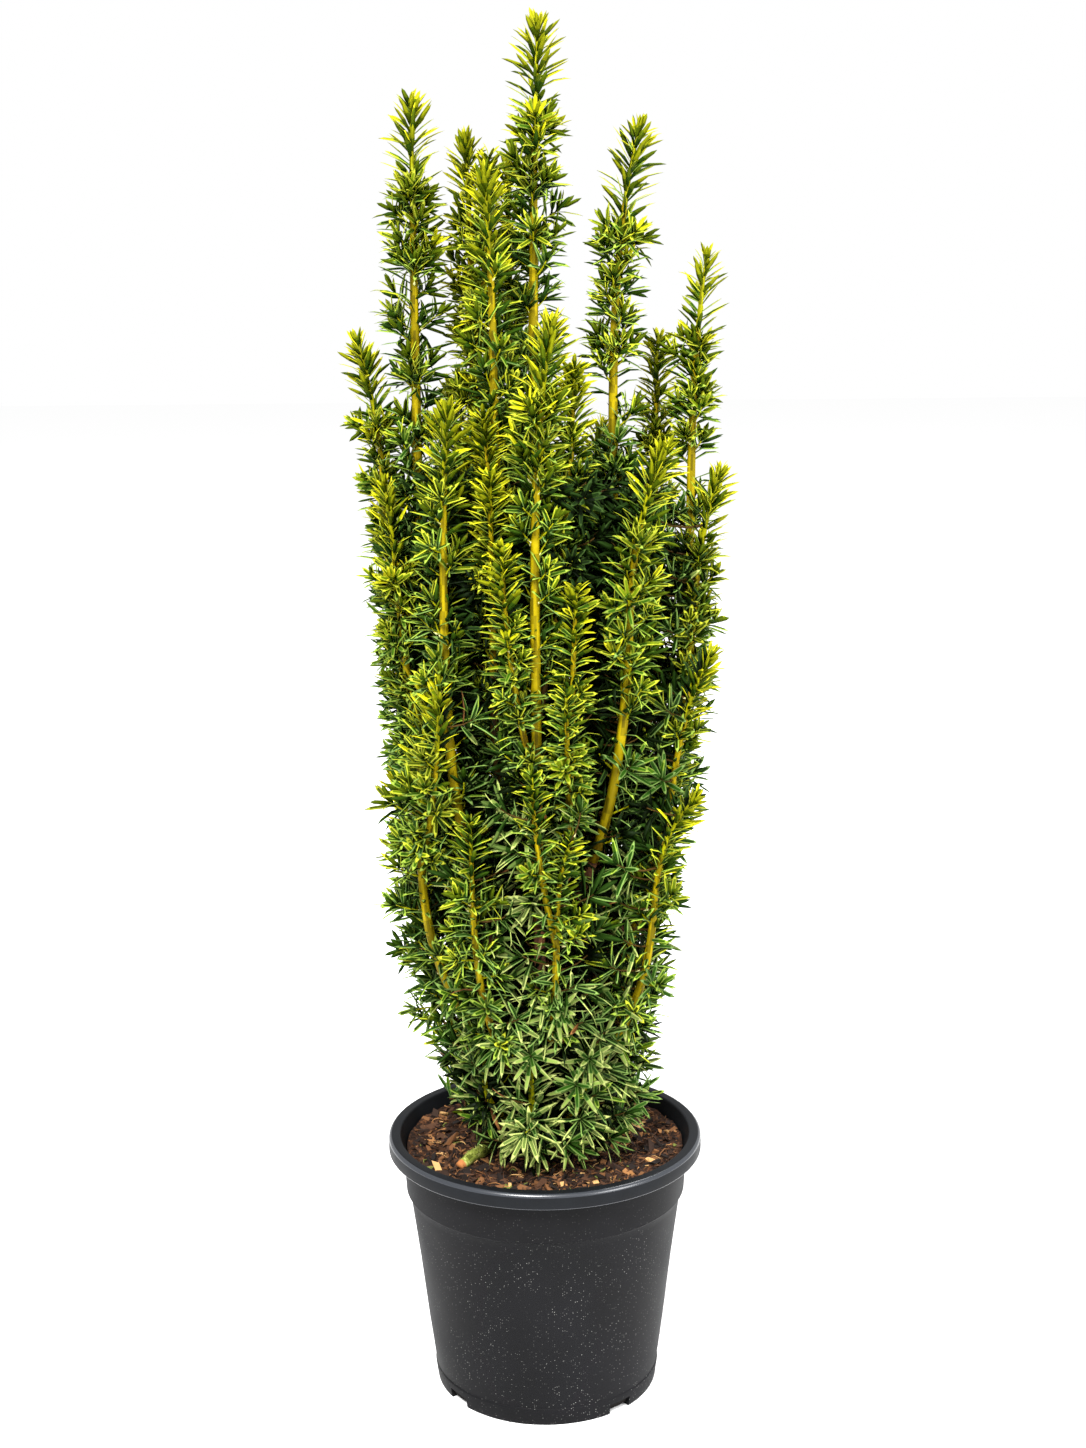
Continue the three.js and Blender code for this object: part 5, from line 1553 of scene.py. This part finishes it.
needle_materials = []
for kind_name, (middle, margin, underside) in NEEDLE_COLOURS.items():
    sides = [("middle", middle, MIDDLE_TONES, 0.03), ("margin", margin, MARGIN_TONES, 0.05)]
    for side, colour, tones, specular in sides:
        for number, scale in enumerate(tones):
            name = f"{kind_name}_{side}_{number + 1}"
            needle_materials.append(new_material(name, np.array(colour) * scale, 0.5, specular)[0])
    # The undersides, which are paler in life, are coloured about as dark as the green middles or darker, as
    # painted shade.
    needle_materials.append(new_material(f"{kind_name}_underside", underside, 0.6, 0.02)[0])
MARGIN_SLOT = len(MIDDLE_TONES)
UNDERSIDE_SLOT = MARGIN_SLOT + len(MARGIN_TONES)
SLOTS_PER_KIND = UNDERSIDE_SLOT + 1


def side_slots(kinds, tone, middle_is_green):
    """The slots of the sides of a ring of faces, for each needle: margin, middle, margin and underside."""
    first_slot = SLOTS_PER_KIND * kinds[:, None]
    margin = first_slot + MARGIN_SLOT + tone // len(MIDDLE_TONES)
    middle = first_slot + tone % len(MIDDLE_TONES) if middle_is_green else margin
    return np.concatenate([margin, middle, margin, first_slot + UNDERSIDE_SLOT], axis=1)


def needle_meshes(chosen, stations, widths):
    """The blades of the chosen needles: vertices, face arrays and their slots.

    Every blade starts and ends in a point. Its rings have four vertices: left edge, the two that bound the
    raised green middle, and right edge.
    """
    count = len(chosen)
    rings = len(widths)
    at, ahead, facing = bent(*[needle[key][chosen] for key in ARC], np.array(stations))
    side = np.cross(ahead, facing)
    width = (needle["width"][chosen][:, None] * np.array(widths))[..., None]
    across = np.array([-0.5, -0.5 * MIDDLE_SHARE, 0.5 * MIDDLE_SHARE, 0.5])
    rise = np.array([0.0, NEEDLE_DEPTH, NEEDLE_DEPTH, 0.0])
    body = (
        at[:, 1:-1, None] + (width * across)[..., None] * side[:, 1:-1, None]
        + (width * rise)[..., None] * facing[:, 1:-1, None]
    )
    vertices = np.concatenate([body.reshape(count, 4 * rings, 3), at[:, :1], at[:, -1:]], axis=1)
    ring = np.arange(4)
    onward = np.roll(ring, -1)
    last = 4 * rings - 4
    foot_faces = np.stack([onward, ring, np.full(4, 4 * rings)], axis=1)
    tip_faces = np.stack([ring + last, onward + last, np.full(4, 4 * rings + 1)], axis=1)
    tone = needle["tone"][chosen][:, None]
    lower = side_slots(BASE_KINDS[kind[chosen]], tone, True)
    upper = side_slots(kind[chosen], tone, True)
    body_slots = [lower[:, :0]] + [lower] * ((rings - 1) // 2) + [upper] * (rings // 2)
    tip_slots = side_slots(kind[chosen], tone, False)
    faces = [repeated(part, count, 4 * rings + 2) for part in (ring_faces(rings, 4), foot_faces, tip_faces)]
    slots = [np.concatenate(body_slots, axis=1).ravel(), lower.ravel(), tip_slots.ravel()]
    return vertices.reshape(-1, 3), faces, slots


for group, group_name in enumerate(GROUPS):
    mine = stem_group[needle["own"]] == group
    vertices, faces, slots = joined([
        needle_meshes(np.flatnonzero(mine & (needle["blade"] == number)), *blade)
        for number, blade in enumerate(BLADES)
    ])
    piece = add_mesh(f"needles_{group_name}", vertices, faces, slots, needle_materials)
    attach(piece, "root")
    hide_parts(*masses_of(group))
